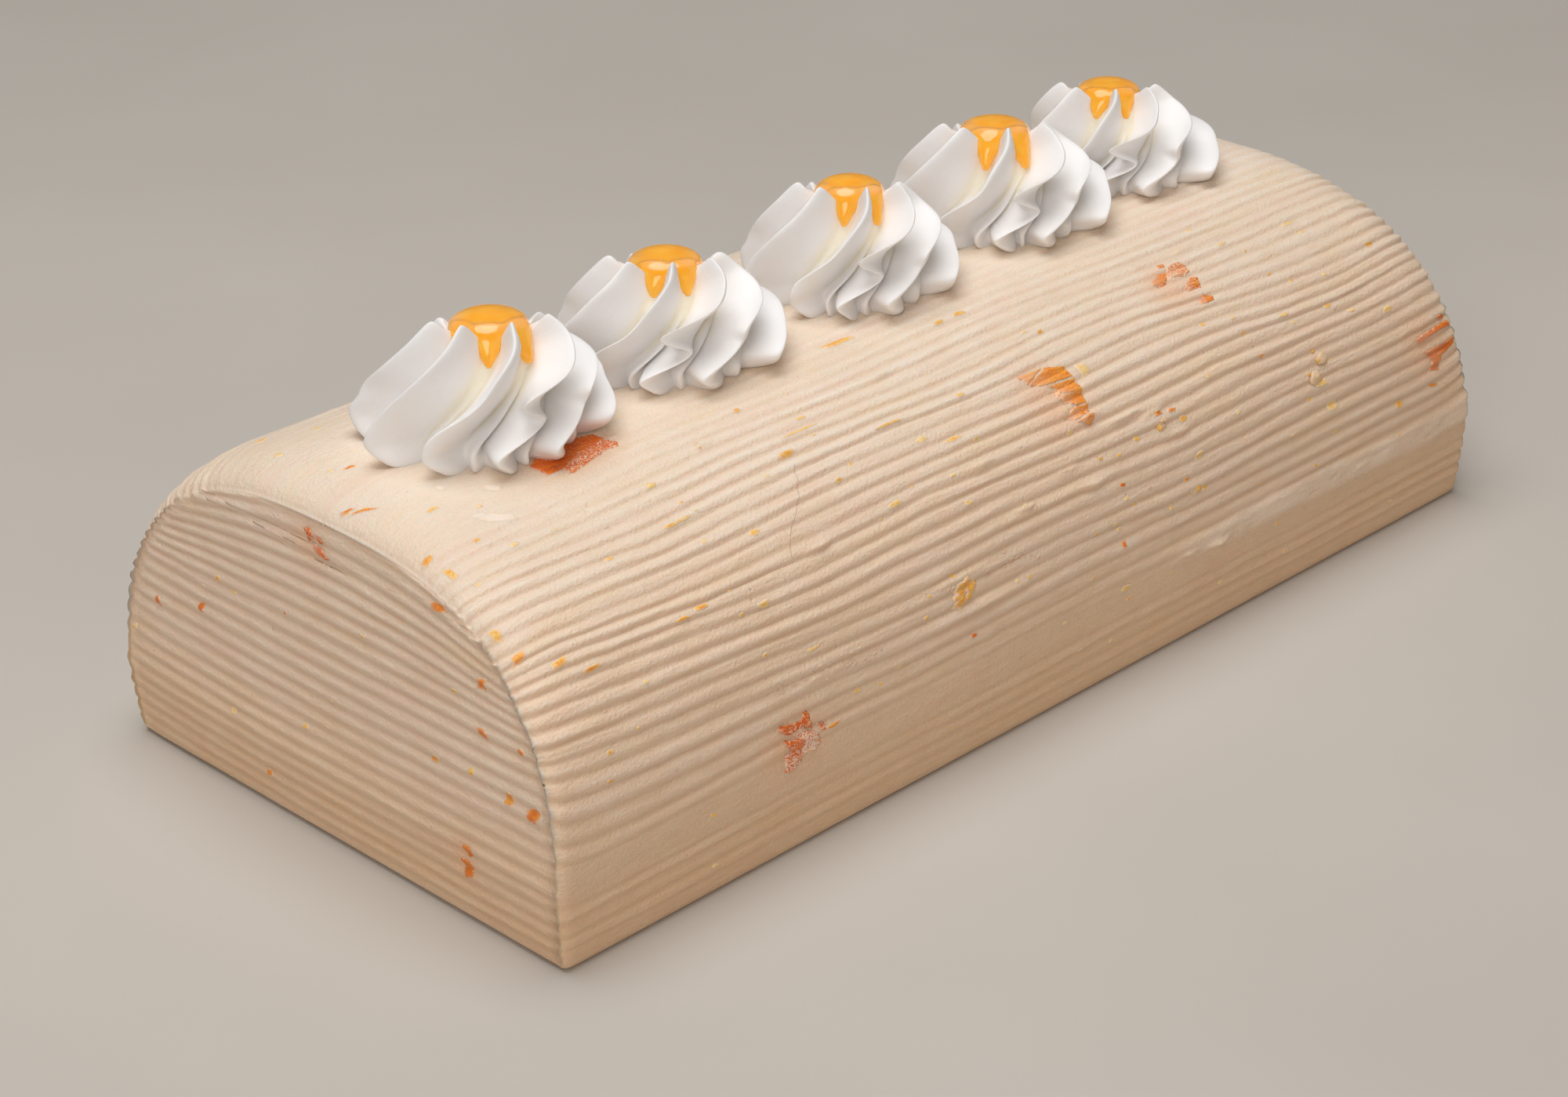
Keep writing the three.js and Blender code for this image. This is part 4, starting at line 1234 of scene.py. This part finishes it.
# A larger crumb is a heap of ever smaller lumps: how many, the first one's size, how much each is smaller
# and drifts along and up, how wide and flat a lump is, and how much each rises
CRUMB_LUMPS = 5
CRUMB_FIRST_SIZE = 0.78
CRUMB_SHRINK = 0.14
CRUMB_DRIFT = (0.09, 0.07)
CRUMB_WIDENING = 1.2
CRUMB_THICKNESS = 0.26
CRUMB_LIFT = 0.02
CRUMB_RISE = 0.04
CRUMB_FIRST_TONE = 0.25
CRUMB_TURN = 0.25
TORN_DRIFT = 0.5
FINE_CRUMB_COUNT = 24
FINE_CRUMB_RANGES = [(-130, 130), (-12, 70)]
CRUMB_SHAPE_SEEDS = (4, 5, 6)
CRUMB_DRAWS = 8


def crumb_shape(seed):
    """Points and triangles of one ragged crumb, a unit in radius."""
    bpy.ops.object.select_all(action="DESELECT")
    bpy.ops.mesh.primitive_ico_sphere_add(subdivisions=3, radius=1, location=(0, 0, 0))
    crumb = bpy.context.active_object
    bpy.ops.object.mode_set(mode="EDIT")
    bpy.ops.mesh.select_all(action="SELECT")
    bpy.ops.transform.vertex_random(offset=0.5, uniform=0.3, normal=0.8, seed=seed)
    bpy.ops.mesh.vertices_smooth(factor=0.5, repeat=3)
    bpy.ops.object.mode_set(mode="OBJECT")
    points = np.empty(len(crumb.data.vertices) * 3)
    crumb.data.vertices.foreach_get("co", points)
    faces = [list(face.vertices) for face in crumb.data.polygons]
    mesh = crumb.data
    bpy.data.objects.remove(crumb)
    bpy.data.meshes.remove(mesh)
    return points.reshape(-1, 3), np.array(faces)


def surface_frame(side, x, wandered, out):
    """Place and axes on the skin of a long side: along the roll, up, and straight out."""
    x, wandered = np.array(x), np.array(wandered)
    centre = side_point(side, x, wandered, comb_relief(side, x, plain_arc(side, x, wandered)) + out)
    normal_y, normal_z = outline_normal(wandered)
    normal = np.array([0, side * float(normal_y), float(normal_z)])
    along = np.array([1.0, 0, 0])
    return centre, np.stack([along, np.cross(normal, along), normal])


def scattered(places, shapes, generator):
    """Copies of crumb shapes set into the skin, joined."""
    points, faces, tone, count = [], [], [], 0
    for side, x, arc, length, width, thick, shade, out in places:
        shape, triangles = shapes[generator.integers(len(shapes))]
        centre, axes = surface_frame(side, x, arc, out)
        turn = generator.uniform(-CRUMB_TURN, CRUMB_TURN)
        cosine, sine = math.cos(turn), math.sin(turn)
        turned = np.array([[cosine, sine, 0], [-sine, cosine, 0], [0, 0, 1]])
        points.append(centre + (shape * [length / 2, width / 2, thick]) @ turned @ axes)
        faces.append(triangles + count)
        tone.append(np.full(len(shape), shade))
        count += len(shape)
    return np.concatenate(points), np.concatenate(faces).tolist(), np.concatenate(tone)


def skin(side, kind, a, b, out):
    """Points a distance out from the cake's own skin."""
    if kind == "side":
        arc = plain_arc(side, a, b)
        return side_point(side, a, b, side_relief(side, a, arc, b) + out)
    return end_point(side, a, b, end_relief(side, a, b) + out)


def fleck_patch(side, kind, a, b, long, wide, turn, lift, seed):
    """Ragged patch that lies in the skin, closed underneath: points, faces and how near its edge each is."""
    if kind == "side":
        limit = float(end_reach(outline(min(b, TOP_ARC))[1])) - long * FLECK_SPREAD - 0.8
        a = min(max(a, -limit), limit)
    ring, spoke = np.meshgrid(np.array(FLECK_RINGS), np.arange(FLECK_SPOKES), indexing="ij")
    angle = 2 * math.pi * spoke / FLECK_SPOKES
    u, v = np.cos(angle), np.sin(angle)
    waver, speed = FLECK_WAVER
    ragged = 1 + waver * value_noise(2 + speed * u, 2 + speed * v, seed)
    waver, speed = FLECK_FINE_WAVER
    ragged = ragged + waver * value_noise(9 + speed * u, 9 + speed * v, seed) * ring
    u = ring * ragged * np.sign(u) * np.abs(u) ** FLECK_CORNER_POWER * long * FLECK_SPREAD
    v = ring * ragged * np.sign(v) * np.abs(v) ** FLECK_CORNER_POWER * wide * FLECK_SPREAD
    along = a + u * math.cos(turn) - v * math.sin(turn)
    up = b + u * math.sin(turn) + v * math.cos(turn)
    rise = lift * (1 - ring**3) - 0.3 * smoothstep(ring, 0.8, 1.15)
    rise = rise + 0.05 * value_noise(u / 0.5, v / 0.5, seed + 1)
    points = skin(side, kind, along.ravel(), up.ravel(), rise.ravel())
    middle_a, middle_b = np.array([a]), np.array([b])
    bottom = skin(side, kind, middle_a, middle_b, np.array([-FLECK_DEPTH]))
    top = skin(side, kind, middle_a, middle_b, np.array([lift]))
    last = (len(FLECK_RINGS) - 1) * FLECK_SPOKES
    total = len(points)
    faces = grid_faces(len(FLECK_RINGS), FLECK_SPOKES, wrap=True)
    for k in range(FLECK_SPOKES):
        after = (k + 1) % FLECK_SPOKES
        faces.append([after, k, total])
        faces.append([last + k, last + after, total + 1])
    edge = np.append(ring.ravel(), [0, 1])
    return np.concatenate([points, top, bottom]), faces, edge


def fleck_places(generator):
    """Side, kind of face, place, length, width, turn, rise and tone of each fleck."""
    places = [(-1, "side", *size, 0, FLECK_LIFT, shade) for *size, shade in FRONT_FLECKS]
    for *size, turn, shade in TOP_STREAKS:
        places.append((-1, "side", *size, math.radians(turn), STREAK_LIFT, shade))
    places += [(1, "side", *size, 0, FLECK_LIFT, shade) for *size, shade in BACK_FLECKS]
    places += [(-1, "end", *size, 0, END_FLECK_LIFT, shade) for *size, shade in END_FLECKS]
    for dx, da, long, wide, turn in YELLOW_LUMP_PARTS:
        size = (YELLOW_LUMP[0] + dx, YELLOW_LUMP[1] + da, long * 1.1, wide * 1.1)
        places.append((-1, "side", *size, math.radians(turn), LUMP_LIFT, 0.4))
    for _ in range(BACK_FLECK_COUNT):
        size = [generator.uniform(*limits) for limits in BACK_FLECK_RANGES]
        places.append((1, "side", *size, 0, FLECK_LIFT, generator.choice([0.1, 0.3, 0.9])))
    for side, kind, count, ranges, long, wide, lift, shades in FINE_FLECKS:
        for _ in range(count):
            a, b, size = (generator.uniform(*limits) for limits in ranges)
            places.append((side, kind, a, b, size * long, size * wide, 0, lift, generator.choice(shades)))
    return places


def make_patches(name, places, material, slot):
    """One piece of a patch at each place."""
    points, faces, tone, edge, count = [], [], [], [], 0
    for seed, place in enumerate(places, start=FLECK_SEED):
        patch_points, patch_faces, patch_edge = fleck_patch(*place[:8], seed)
        points.append(patch_points)
        faces += [[index + count for index in face] for face in patch_faces]
        tone.append(np.full(len(patch_points), place[8]))
        edge.append(patch_edge)
        count += len(patch_points)
    shares = {"tone": np.concatenate(tone), "edge": np.concatenate(edge)}
    patches = make_piece(name, np.concatenate(points), faces, shares=shares)
    face_outwards(patches)
    settle(patches, slot, material)


def make_smears(material):
    places = [(-1, "side", *size, math.radians(turn), FLECK_LIFT, 0) for *size, turn in SMEARS]
    make_patches("cream_smears", places, material, "whipped_cream")


def make_hair(material):
    knots = np.array(HAIR)
    share = np.linspace(0, len(HAIR) - 1, HAIR_STATIONS)
    x, arc = (np.interp(share, np.arange(len(HAIR)), knots[:, k]) for k in (0, 1))
    soft = np.hanning(2 * HAIR_SOFTENING + 1)
    soft = soft / soft.sum()
    x, arc = (np.pad(line, HAIR_SOFTENING, mode="edge") for line in (x, arc))
    x, arc = (np.convolve(line, soft, mode="valid") for line in (x, arc))
    low = skin(-1, "side", x, arc, np.full_like(x, 0.02))
    high = skin(-1, "side", x, arc, np.full_like(x, 1.02))
    normal = high - low
    along = np.gradient(low, axis=0)
    across = np.cross(along, normal)
    across /= np.linalg.norm(across, axis=1, keepdims=True)
    rings = []
    for angle in np.linspace(0, 2 * math.pi, HAIR_SPOKES + 1)[:-1]:
        rings.append(low + HAIR_RADIUS * (math.cos(angle) * across + math.sin(angle) * normal))
    points = np.stack(rings, axis=1).reshape(-1, 3)
    faces = grid_faces(HAIR_STATIONS, HAIR_SPOKES, wrap=True)
    corners = list(range(len(points)))
    faces += [corners[:HAIR_SPOKES], corners[: -HAIR_SPOKES - 1 : -1]]
    hair = make_piece("fine_hair", points, faces)
    face_outwards(hair)
    settle(hair, "cream_coat", material)


def make_crumbs(material):
    generator = np.random.default_rng(CRUMB_DRAWS)
    shapes = [crumb_shape(seed) for seed in CRUMB_SHAPE_SEEDS]
    places = []
    for x, arc, size in FRONT_CRUMBS:
        for step in range(CRUMB_LUMPS):
            dx, da = (generator.normal(0, size * drift * step) for drift in CRUMB_DRIFT)
            part = size * (CRUMB_FIRST_SIZE - CRUMB_SHRINK * step)
            tone = CRUMB_FIRST_TONE if step == 0 else generator.uniform(0.2, 1)
            sizes = (part * CRUMB_WIDENING, part, part * CRUMB_THICKNESS)
            places.append((-1, x + dx, arc + da, *sizes, tone, CRUMB_LIFT + CRUMB_RISE * step))
    for (start_x, start_arc), (end_x, end_arc), count in TORN_LINES:
        for share in generator.uniform(0, 1, count):
            x = start_x + share * (end_x - start_x)
            arc = start_arc + share * (end_arc - start_arc) + generator.normal(0, TORN_DRIFT)
            size = generator.uniform(0.3, 0.7)
            places.append((-1, x, arc, size * 2, size, size * 0.3, 0, CRUMB_LIFT))
    for _ in range(FINE_CRUMB_COUNT):
        x, arc = (generator.uniform(*limits) for limits in FINE_CRUMB_RANGES)
        side = generator.choice([-1, 1])
        size = generator.uniform(0.4, 0.9)
        places.append((side, x, arc, size * 1.5, size, size * 0.25, 0, CRUMB_LIFT))
    points, faces, tone = scattered(places, shapes, generator)
    crumbs = make_piece("cream_crumbs", points, faces, shares={"tone": tone})
    face_outwards(crumbs)
    settle(crumbs, "cream_coat", material)


# Materials

CREAM_SIDE_TONES = [(0.3, (0.87, 0.65, 0.49)), (0.5, (0.92, 0.715, 0.56)), (0.7, (0.96, 0.8, 0.67))]
CREAM_TOP_TONES = [(0.3, (0.92, 0.76, 0.61)), (0.5, (0.96, 0.83, 0.71)), (0.7, (0.98, 0.91, 0.83))]
CREAM_TINTS = [
    (0.3, (1.0, 0.975, 0.9)),
    (0.47, (1.0, 1.0, 1.0)),
    (0.53, (1.0, 1.0, 1.0)),
    (0.7, (1.0, 0.94, 0.95)),
]
# Painted shade that darkens and warms the cream low on the coat
PAINTED_LOW_SHADE = (0.93, 0.84, 0.72, 1)
# Painted shade for the comb's grooves
PAINTED_GROOVE_SHADE = (0.74, 0.5, 0.28, 1)
FRUIT_BLUSH = (0.92, 0.5, 0.28, 1)
WHIPPED_TONES = [(0.3, (0.92, 0.9, 0.895)), (0.7, (0.955, 0.94, 0.94))]
# Painted warm glow of bounced light in the valleys between petals, by how little a petal stands out
PAINTED_VALLEY_GLOW = [(0.0, (1.0, 0.94, 0.78)), (0.1, (1.0, 0.98, 0.93)), (0.26, (1.0, 1.0, 1.0))]
JELLY_TONES = [(0.3, (1.0, 0.5, 0.03)), (0.7, (1.0, 0.59, 0.08))]
THIN_JELLY = (1.0, 0.76, 0.45, 1)
RIPE_FLESH = [(0.3, (0.86, 0.24, 0.02)), (0.5, (0.95, 0.34, 0.03)), (0.7, (1.0, 0.46, 0.06))]
RED_FLESH = [(0.3, (0.6, 0.07, 0.004)), (0.5, (0.78, 0.115, 0.006)), (0.7, (0.9, 0.2, 0.012))]
CREAM_FILM = (0.93, 0.71, 0.54, 1)
CREAM_EDGE = (0.91, 0.72, 0.54, 1)
FLECK_TONES = [
    (0, (0.95, 0.7, 0.33)),
    (0.3, (0.94, 0.52, 0.1)),
    (0.6, (0.9, 0.32, 0.05)),
    (0.9, (0.8, 0.19, 0.03)),
]
CRUMB_TONES = [(0, (0.8, 0.58, 0.41)), (0.35, (0.85, 0.61, 0.38)), (0.8, (0.9, 0.5, 0.1))]
SMEAR_TONES = [(0, (0.93, 0.785, 0.66)), (0.5, (0.94, 0.81, 0.7)), (1, (0.95, 0.84, 0.75))]
HAIR_TONES = [(0, (0.5, 0.37, 0.26)), (0.5, (0.44, 0.32, 0.22)), (1, (0.38, 0.27, 0.18))]
FLOOR_TONES = [(0.3, (0.55, 0.51, 0.46)), (0.7, (0.59, 0.55, 0.5))]


def plug(tree, value, socket):
    """Links another node's output to a socket, or sets the socket to a plain value."""
    if isinstance(value, bpy.types.NodeSocket):
        tree.links.new(value, socket)
    else:
        socket.default_value = value


def add_node(tree, kind, place, **values):
    """A node of a kind at a place in its tree, with its settings made and its inputs linked or set."""
    node = tree.nodes.new(kind)
    node.location = place
    for key, value in values.items():
        if hasattr(node, key):
            setattr(node, key, value)
        else:
            plug(tree, value, node.inputs[key.replace("_", " ")])
    return node


def read_share(tree, place, name):
    """A share that the piece carries at each of its points."""
    return add_node(tree, "ShaderNodeAttribute", place, attribute_name=name).outputs["Fac"]


def read_lay(tree, place):
    return add_node(tree, "ShaderNodeAttribute", place, attribute_name="lay").outputs["Vector"]


def add_stretch(tree, place, vector, scale):
    return add_node(tree, "ShaderNodeMapping", place, Vector=vector, Scale=scale).outputs["Vector"]


def add_noise(tree, place, vector, scale, detail, roughness=0.5):
    values = {"Vector": vector, "Scale": scale, "Detail": detail, "Roughness": roughness}
    return add_node(tree, "ShaderNodeTexNoise", place, **values).outputs["Fac"]


def add_range(tree, place, value, start=(0, 1), end=(0, 1)):
    """A value moved from one range to another."""
    limits = {"From_Min": start[0], "From_Max": start[1], "To_Min": end[0], "To_Max": end[1]}
    return add_node(tree, "ShaderNodeMapRange", place, Value=value, **limits).outputs["Result"]


def add_math(tree, place, operation, *operands, clamp=False):
    node = add_node(tree, "ShaderNodeMath", place, operation=operation, use_clamp=clamp)
    for operand, socket in zip(operands, node.inputs):
        plug(tree, operand, socket)
    return node.outputs[0]


def add_mix(tree, place, share, first, second, kind="RGBA", blend="MIX"):
    """The first value or colour, with a share of the second in it."""
    node = add_node(tree, "ShaderNodeMix", place, data_type=kind, blend_type=blend)
    for key, value in (("Factor", share), ("A", first), ("B", second)):
        plug(tree, value, node.inputs[key])
    return node.outputs["Result"]


def add_ramp(tree, place, share, stops):
    ramp = add_node(tree, "ShaderNodeValToRGB", place, Fac=share)
    elements = ramp.color_ramp.elements
    for element, (position, colour) in zip(elements, (stops[0], stops[-1])):
        element.position, element.color = position, (*colour, 1)
    for position, colour in stops[1:-1]:
        elements.new(position).color = (*colour, 1)
    return ramp.outputs["Color"]


def add_bump(tree, place, height, strength, distance):
    values = {"Height": height, "Strength": strength, "Distance": distance}
    return add_node(tree, "ShaderNodeBump", place, **values).outputs["Normal"]


def cream_group():
    """Grain of whipped cream: drawn streaks, soft blotches, fine grain and pits, over the cream's lay."""
    group = bpy.data.node_groups.new("cream_grain", "ShaderNodeTree")
    group.interface.new_socket("Lay", in_out="INPUT", socket_type="NodeSocketVector")
    for name in ("Streak", "Grain"):
        socket = group.interface.new_socket(name, in_out="INPUT", socket_type="NodeSocketFloat")
        socket.default_value = 1.0
    for name in ("Tone", "Tint", "Height"):
        group.interface.new_socket(name, in_out="OUTPUT", socket_type="NodeSocketFloat")
    start = add_node(group, "NodeGroupInput", (-900, 0))
    lay = start.outputs["Lay"]
    streak = add_noise(group, (-480, 260), add_stretch(group, (-700, 200), lay, (220, 1000, 220)), 1, 4, 0.6)
    blotch = add_noise(group, (-480, 0), lay, 120, 4, 0.6)
    grain = add_noise(group, (-480, -240), lay, 1500, 3, 0.65)
    tint = add_noise(group, (-480, 700), add_stretch(group, (-700, 700), lay, (30, 190, 60)), 1, 4, 0.6)
    pits = add_node(group, "ShaderNodeTexVoronoi", (-480, -480), Vector=lay, Scale=420).outputs["Distance"]
    pit_edge = add_range(group, (-260, -480), pits, (0, 0.16), (1, 0))
    few = add_range(group, (-260, -700), add_noise(group, (-480, -700), lay, 170, 1), (0.58, 0.68))
    pit_depth = add_math(group, (-40, -560), "MULTIPLY", pit_edge, few)
    streak_height = add_math(group, (-200, 260), "MULTIPLY", streak, start.outputs["Streak"])
    grain_height = add_math(group, (-200, -200), "MULTIPLY", grain, start.outputs["Grain"])
    height = add_math(group, (60, 60), "ADD", streak_height, grain_height)
    height = add_math(group, (260, 0), "SUBTRACT", height, pit_depth)
    soft_tone = add_mix(group, (60, 420), 0.4, blotch, streak, kind="FLOAT")
    tone = add_mix(group, (280, 320), 0.4, soft_tone, grain, kind="FLOAT")
    add_node(group, "NodeGroupOutput", (900, 0), Tone=tone, Tint=tint, Height=height)
    return group


def place_grain(tree, place, group, lay, streak, grain):
    """The cream's grain in a material: its tone, tint and height."""
    node = add_node(tree, "ShaderNodeGroup", place, node_tree=group, Lay=lay, Streak=streak, Grain=grain)
    return (node.outputs[name] for name in ("Tone", "Tint", "Height"))


def new_material(name):
    material = bpy.data.materials.new(name)
    material.use_nodes = True
    return material, material.node_tree


def finish_surface(material, **values):
    """Links or sets the inputs of a material's surface."""
    tree = material.node_tree
    surface = next(node for node in tree.nodes if node.type == "BSDF_PRINCIPLED")
    for key, value in values.items():
        plug(tree, value, surface.inputs[key.replace("_", " ")])
    return material


def cream_material(grain_group):
    material, tree = new_material("combed_cream")
    lay = read_lay(tree, (-1500, 0))
    tone, tint, height = place_grain(tree, (-1250, 0), grain_group, lay, 0.7, 1)
    combed = add_ramp(tree, (-1000, 260), tone, CREAM_SIDE_TONES)
    smooth = add_ramp(tree, (-1000, 0), tone, CREAM_TOP_TONES)
    colour = add_mix(tree, (-700, 200), read_share(tree, (-1500, 420), "spread"), combed, smooth)
    tints = add_ramp(tree, (-1000, -240), tint, CREAM_TINTS)
    colour = add_mix(tree, (-500, 200), 1, colour, tints, blend="MULTIPLY")
    # Painted shade: the low coat darkened and warmed
    low = read_share(tree, (-1500, -760), "low")
    colour = add_mix(tree, (-400, 200), low, colour, PAINTED_LOW_SHADE, blend="MULTIPLY")
    # Painted shade darkening the comb's grooves
    deep = add_math(tree, (-700, -400), "MULTIPLY", read_share(tree, (-1500, -300), "groove"), 0.4)
    colour = add_mix(tree, (-300, 100), deep, colour, PAINTED_GROOVE_SHADE)
    stain = add_math(tree, (-500, -520), "MULTIPLY", read_share(tree, (-1500, -520), "blush"), 0.42)
    return finish_surface(
        material,
        Base_Color=add_mix(tree, (-100, 60), stain, colour, FRUIT_BLUSH),
        Roughness=add_range(tree, (-500, -700), tone, end=(0.5, 0.7)),
        Normal=add_bump(tree, (-250, -300), height, 0.6, 0.0006),
        Specular_IOR_Level=0.35,
        Subsurface_Weight=0.4,
        Subsurface_Radius=(1.0, 0.55, 0.34),
        Subsurface_Scale=0.0018,
    )


def whipped_material(grain_group):
    material, tree = new_material("whipped_cream")
    lay = read_lay(tree, (-1100, 0))
    tone, _, height = place_grain(tree, (-850, 0), grain_group, lay, 0.25, 0.3)
    white = add_ramp(tree, (-600, 120), tone, WHIPPED_TONES)
    # Painted warm glow of bounced light where the petals stand least
    painted_glow = add_ramp(tree, (-600, -260), read_share(tree, (-1100, -300), "stand"), PAINTED_VALLEY_GLOW)
    return finish_surface(
        material,
        Base_Color=add_mix(tree, (-300, 60), 1, white, painted_glow, blend="MULTIPLY"),
        Roughness=add_range(tree, (-600, -520), tone, end=(0.38, 0.55)),
        Normal=add_bump(tree, (-300, -300), height, 0.35, 0.0002),
        Specular_IOR_Level=0.4,
        Subsurface_Weight=0.5,
        Subsurface_Radius=(1.0, 0.92, 0.86),
        Subsurface_Scale=0.0018,
    )


def jelly_material():
    material, tree = new_material("mango_jelly")
    place = add_node(tree, "ShaderNodeTexCoord", (-1000, 0)).outputs["Object"]
    cloud = add_noise(tree, (-780, 0), place, 320, 3)
    wave = add_noise(tree, (-780, -300), place, 500, 1)
    colour = add_ramp(tree, (-560, 0), cloud, JELLY_TONES)
    thin = add_math(tree, (-560, 300), "MULTIPLY", read_share(tree, (-780, 300), "thin"), 0.95)
    return finish_surface(
        material,
        Base_Color=add_mix(tree, (-300, 120), thin, colour, THIN_JELLY),
        Roughness=add_range(tree, (-560, -520), cloud, end=(0.03, 0.12)),
        Normal=add_bump(tree, (-300, -300), wave, 0.15, 0.0003),
        IOR=1.35,
        Transmission_Weight=0.5,
        # Painted glow: the emission stands in for light passing through the jelly
        Emission_Color=(1.0, 0.4, 0.02, 1),
        Emission_Strength=0.17,
        Subsurface_Weight=0.7,
        Subsurface_Radius=(1.0, 0.5, 0.1),
        Subsurface_Scale=0.0015,
        Coat_Weight=0.6,
        Coat_Roughness=0.03,
    )


def flesh_material():
    """Mango flesh, ripe to red by its hue, with a film of cream where it is veiled or crumbly."""
    material, tree = new_material("mango_flesh")
    lay = read_lay(tree, (-1300, 0))
    fibre = add_noise(tree, (-880, 0), add_stretch(tree, (-1100, 0), lay, (300, 1500, 300)), 1, 5, 0.65)
    ripe = add_ramp(tree, (-640, 60), fibre, RIPE_FLESH)
    red = add_ramp(tree, (-640, 320), fibre, RED_FLESH)
    colour = add_mix(tree, (-380, 160), read_share(tree, (-900, 320), "hue"), ripe, red)
    speck = add_noise(tree, (-900, -820), lay, 3600, 2)
    crumbly = read_share(tree, (-900, -620), "crumbly")
    speck_level = add_math(tree, (-700, -720), "MULTIPLY_ADD", crumbly, 0.26, speck)
    speck_share = add_range(tree, (-500, -720), speck_level, (0.66, 0.7))
    film = add_math(tree, (-300, -560), "MAXIMUM", speck_share, read_share(tree, (-900, -420), "film"))
    return finish_surface(
        material,
        Base_Color=add_mix(tree, (-300, 60), film, colour, CREAM_FILM),
        Roughness=add_range(tree, (-640, -220), fibre, end=(0.3, 0.6)),
        Normal=add_bump(tree, (-300, -300), fibre, 0.6, 0.0004),
        Specular_IOR_Level=0.35,
        Subsurface_Weight=0.2,
        Subsurface_Radius=(1.0, 0.5, 0.3),
        Subsurface_Scale=0.0005,
        Coat_Weight=0.06,
        Coat_Roughness=0.25,
    )


def crumb_material(name, stops):
    """Crumbs and flecks: a colour by each one's own tone, mottled, and creamy towards a fleck's edge."""
    material, tree = new_material(name)
    place = add_node(tree, "ShaderNodeTexCoord", (-1200, -200)).outputs["Object"]
    mottle = add_noise(tree, (-1000, -200), place, 1400, 3)
    spread = add_range(tree, (-800, -200), mottle, (0.3, 0.7), (-0.25, 0.25))
    tone = add_math(tree, (-600, 60), "ADD", read_share(tree, (-1000, 100), "tone"), spread, clamp=True)
    edge = add_math(tree, (-600, 420), "ADD", read_share(tree, (-1000, 420), "edge"), spread)
    rim = add_range(tree, (-400, 420), edge, (0.45, 0.95))
    return finish_surface(
        material,
        Base_Color=add_mix(tree, (-100, 200), rim, add_ramp(tree, (-400, 60), tone, stops), CREAM_EDGE),
        Roughness=add_range(tree, (-600, -260), mottle, end=(0.35, 0.65)),
        Normal=add_bump(tree, (-300, -300), mottle, 0.5, 0.0003),
        Specular_IOR_Level=0.4,
        Subsurface_Weight=0.12,
        Subsurface_Radius=(1.0, 0.7, 0.5),
        Subsurface_Scale=0.0002,
    )


def floor_material():
    material, tree = new_material("pale_floor")
    place = add_node(tree, "ShaderNodeTexCoord", (-800, 0)).outputs["Object"]
    colour = add_ramp(tree, (-400, 0), add_noise(tree, (-600, 0), place, 6, 3), FLOOR_TONES)
    return finish_surface(material, Base_Color=colour, Roughness=0.7, Specular_IOR_Level=0.2)


# Floor, light and camera

CAMERA_PLACE = (-0.4657, -0.4611, 0.3448)
CAMERA_RIGHT = (0.7088, -0.7052, -0.0185)
CAMERA_UP = (0.3302, 0.3084, 0.8922)
CAMERA_LENS = 79.9
SENSOR_WIDTH = 36
FLOOR_SIZE = 6
# Lights: place, what each points at, size, power and colour
LIGHTS = {
    "overhead_light": ((-0.12, 0.06, 1.3), (0, 0, 0.05), 1.1, 12.5, (0.98, 0.99, 1.0)),
    "camera_side_light": ((-1.15, -0.85, 0.85), (0, 0, 0.05), 0.9, 7.5, (1.0, 0.97, 0.94)),
    "front_fill": ((-0.1, -1.4, 0.6), (0, 0, 0.03), 1.0, 1.2, (1.0, 0.84, 0.7)),
}
ROOM_COLOUR = (1.0, 0.88, 0.77, 1)
ROOM_STRENGTH = 0.13


def make_floor():
    bpy.ops.object.select_all(action="DESELECT")
    bpy.ops.mesh.primitive_grid_add(x_subdivisions=40, y_subdivisions=40, size=FLOOR_SIZE)
    floor = bpy.context.active_object
    floor.name = "floor"
    floor.data.materials.append(floor_material())


def add_area_light(name, place, target, size, power, colour):
    light = bpy.data.lights.new(name, "AREA")
    light.shape = "DISK"
    light.size = size
    light.energy = power
    light.color = colour
    lamp = bpy.data.objects.new(name, light)
    bpy.context.scene.collection.objects.link(lamp)
    lamp.location = place
    lamp.rotation_mode = "QUATERNION"
    lamp.rotation_quaternion = (Vector(target) - Vector(place)).to_track_quat("-Z", "Y")


def light_studio():
    for name, settings in LIGHTS.items():
        add_area_light(name, *settings)
    world = bpy.data.worlds.new("studio")
    world.use_nodes = True
    background = next(node for node in world.node_tree.nodes if node.type == "BACKGROUND")
    background.inputs["Color"].default_value = ROOM_COLOUR
    background.inputs["Strength"].default_value = ROOM_STRENGTH
    bpy.context.scene.world = world


def place_camera():
    camera = bpy.data.cameras.new("camera")
    camera.lens = CAMERA_LENS
    camera.sensor_width = SENSOR_WIDTH
    camera.sensor_fit = "HORIZONTAL"
    camera.clip_start, camera.clip_end = 0.01, 20
    holder = bpy.data.objects.new("camera", camera)
    bpy.context.scene.collection.objects.link(holder)
    right, up = Vector(CAMERA_RIGHT).normalized(), Vector(CAMERA_UP)
    up = (up - right * up.dot(right)).normalized()
    turn = Matrix((right, up, right.cross(up))).transposed()
    holder.matrix_world = Matrix.Translation(CAMERA_PLACE) @ turn.to_4x4()
    bpy.context.scene.camera = holder


place_camera()
grain = cream_group()
cream = cream_material(grain)
flesh = flesh_material()
whipped = whipped_material(grain)
jelly_look = jelly_material()
make_coat(cream)
for index, piece in enumerate([*SIDE_FRUIT, *END_FRUIT], start=1):
    make_fruit(piece, index, flesh)
for index, place in enumerate(ROSETTES, start=1):
    make_rosette(place, index, whipped)
    make_jelly(place, index, jelly_look)
flecks = fleck_places(np.random.default_rng(FLECK_DRAWS))
make_patches("mango_flecks", flecks, crumb_material("fruit_flecks", FLECK_TONES), "mango_flesh")
make_smears(crumb_material("smears", SMEAR_TONES))
make_hair(crumb_material("hair", HAIR_TONES))
make_crumbs(crumb_material("cream_crumbs", CRUMB_TONES))
make_floor()
light_studio()
bpy.context.scene.view_settings.view_transform = "Standard"
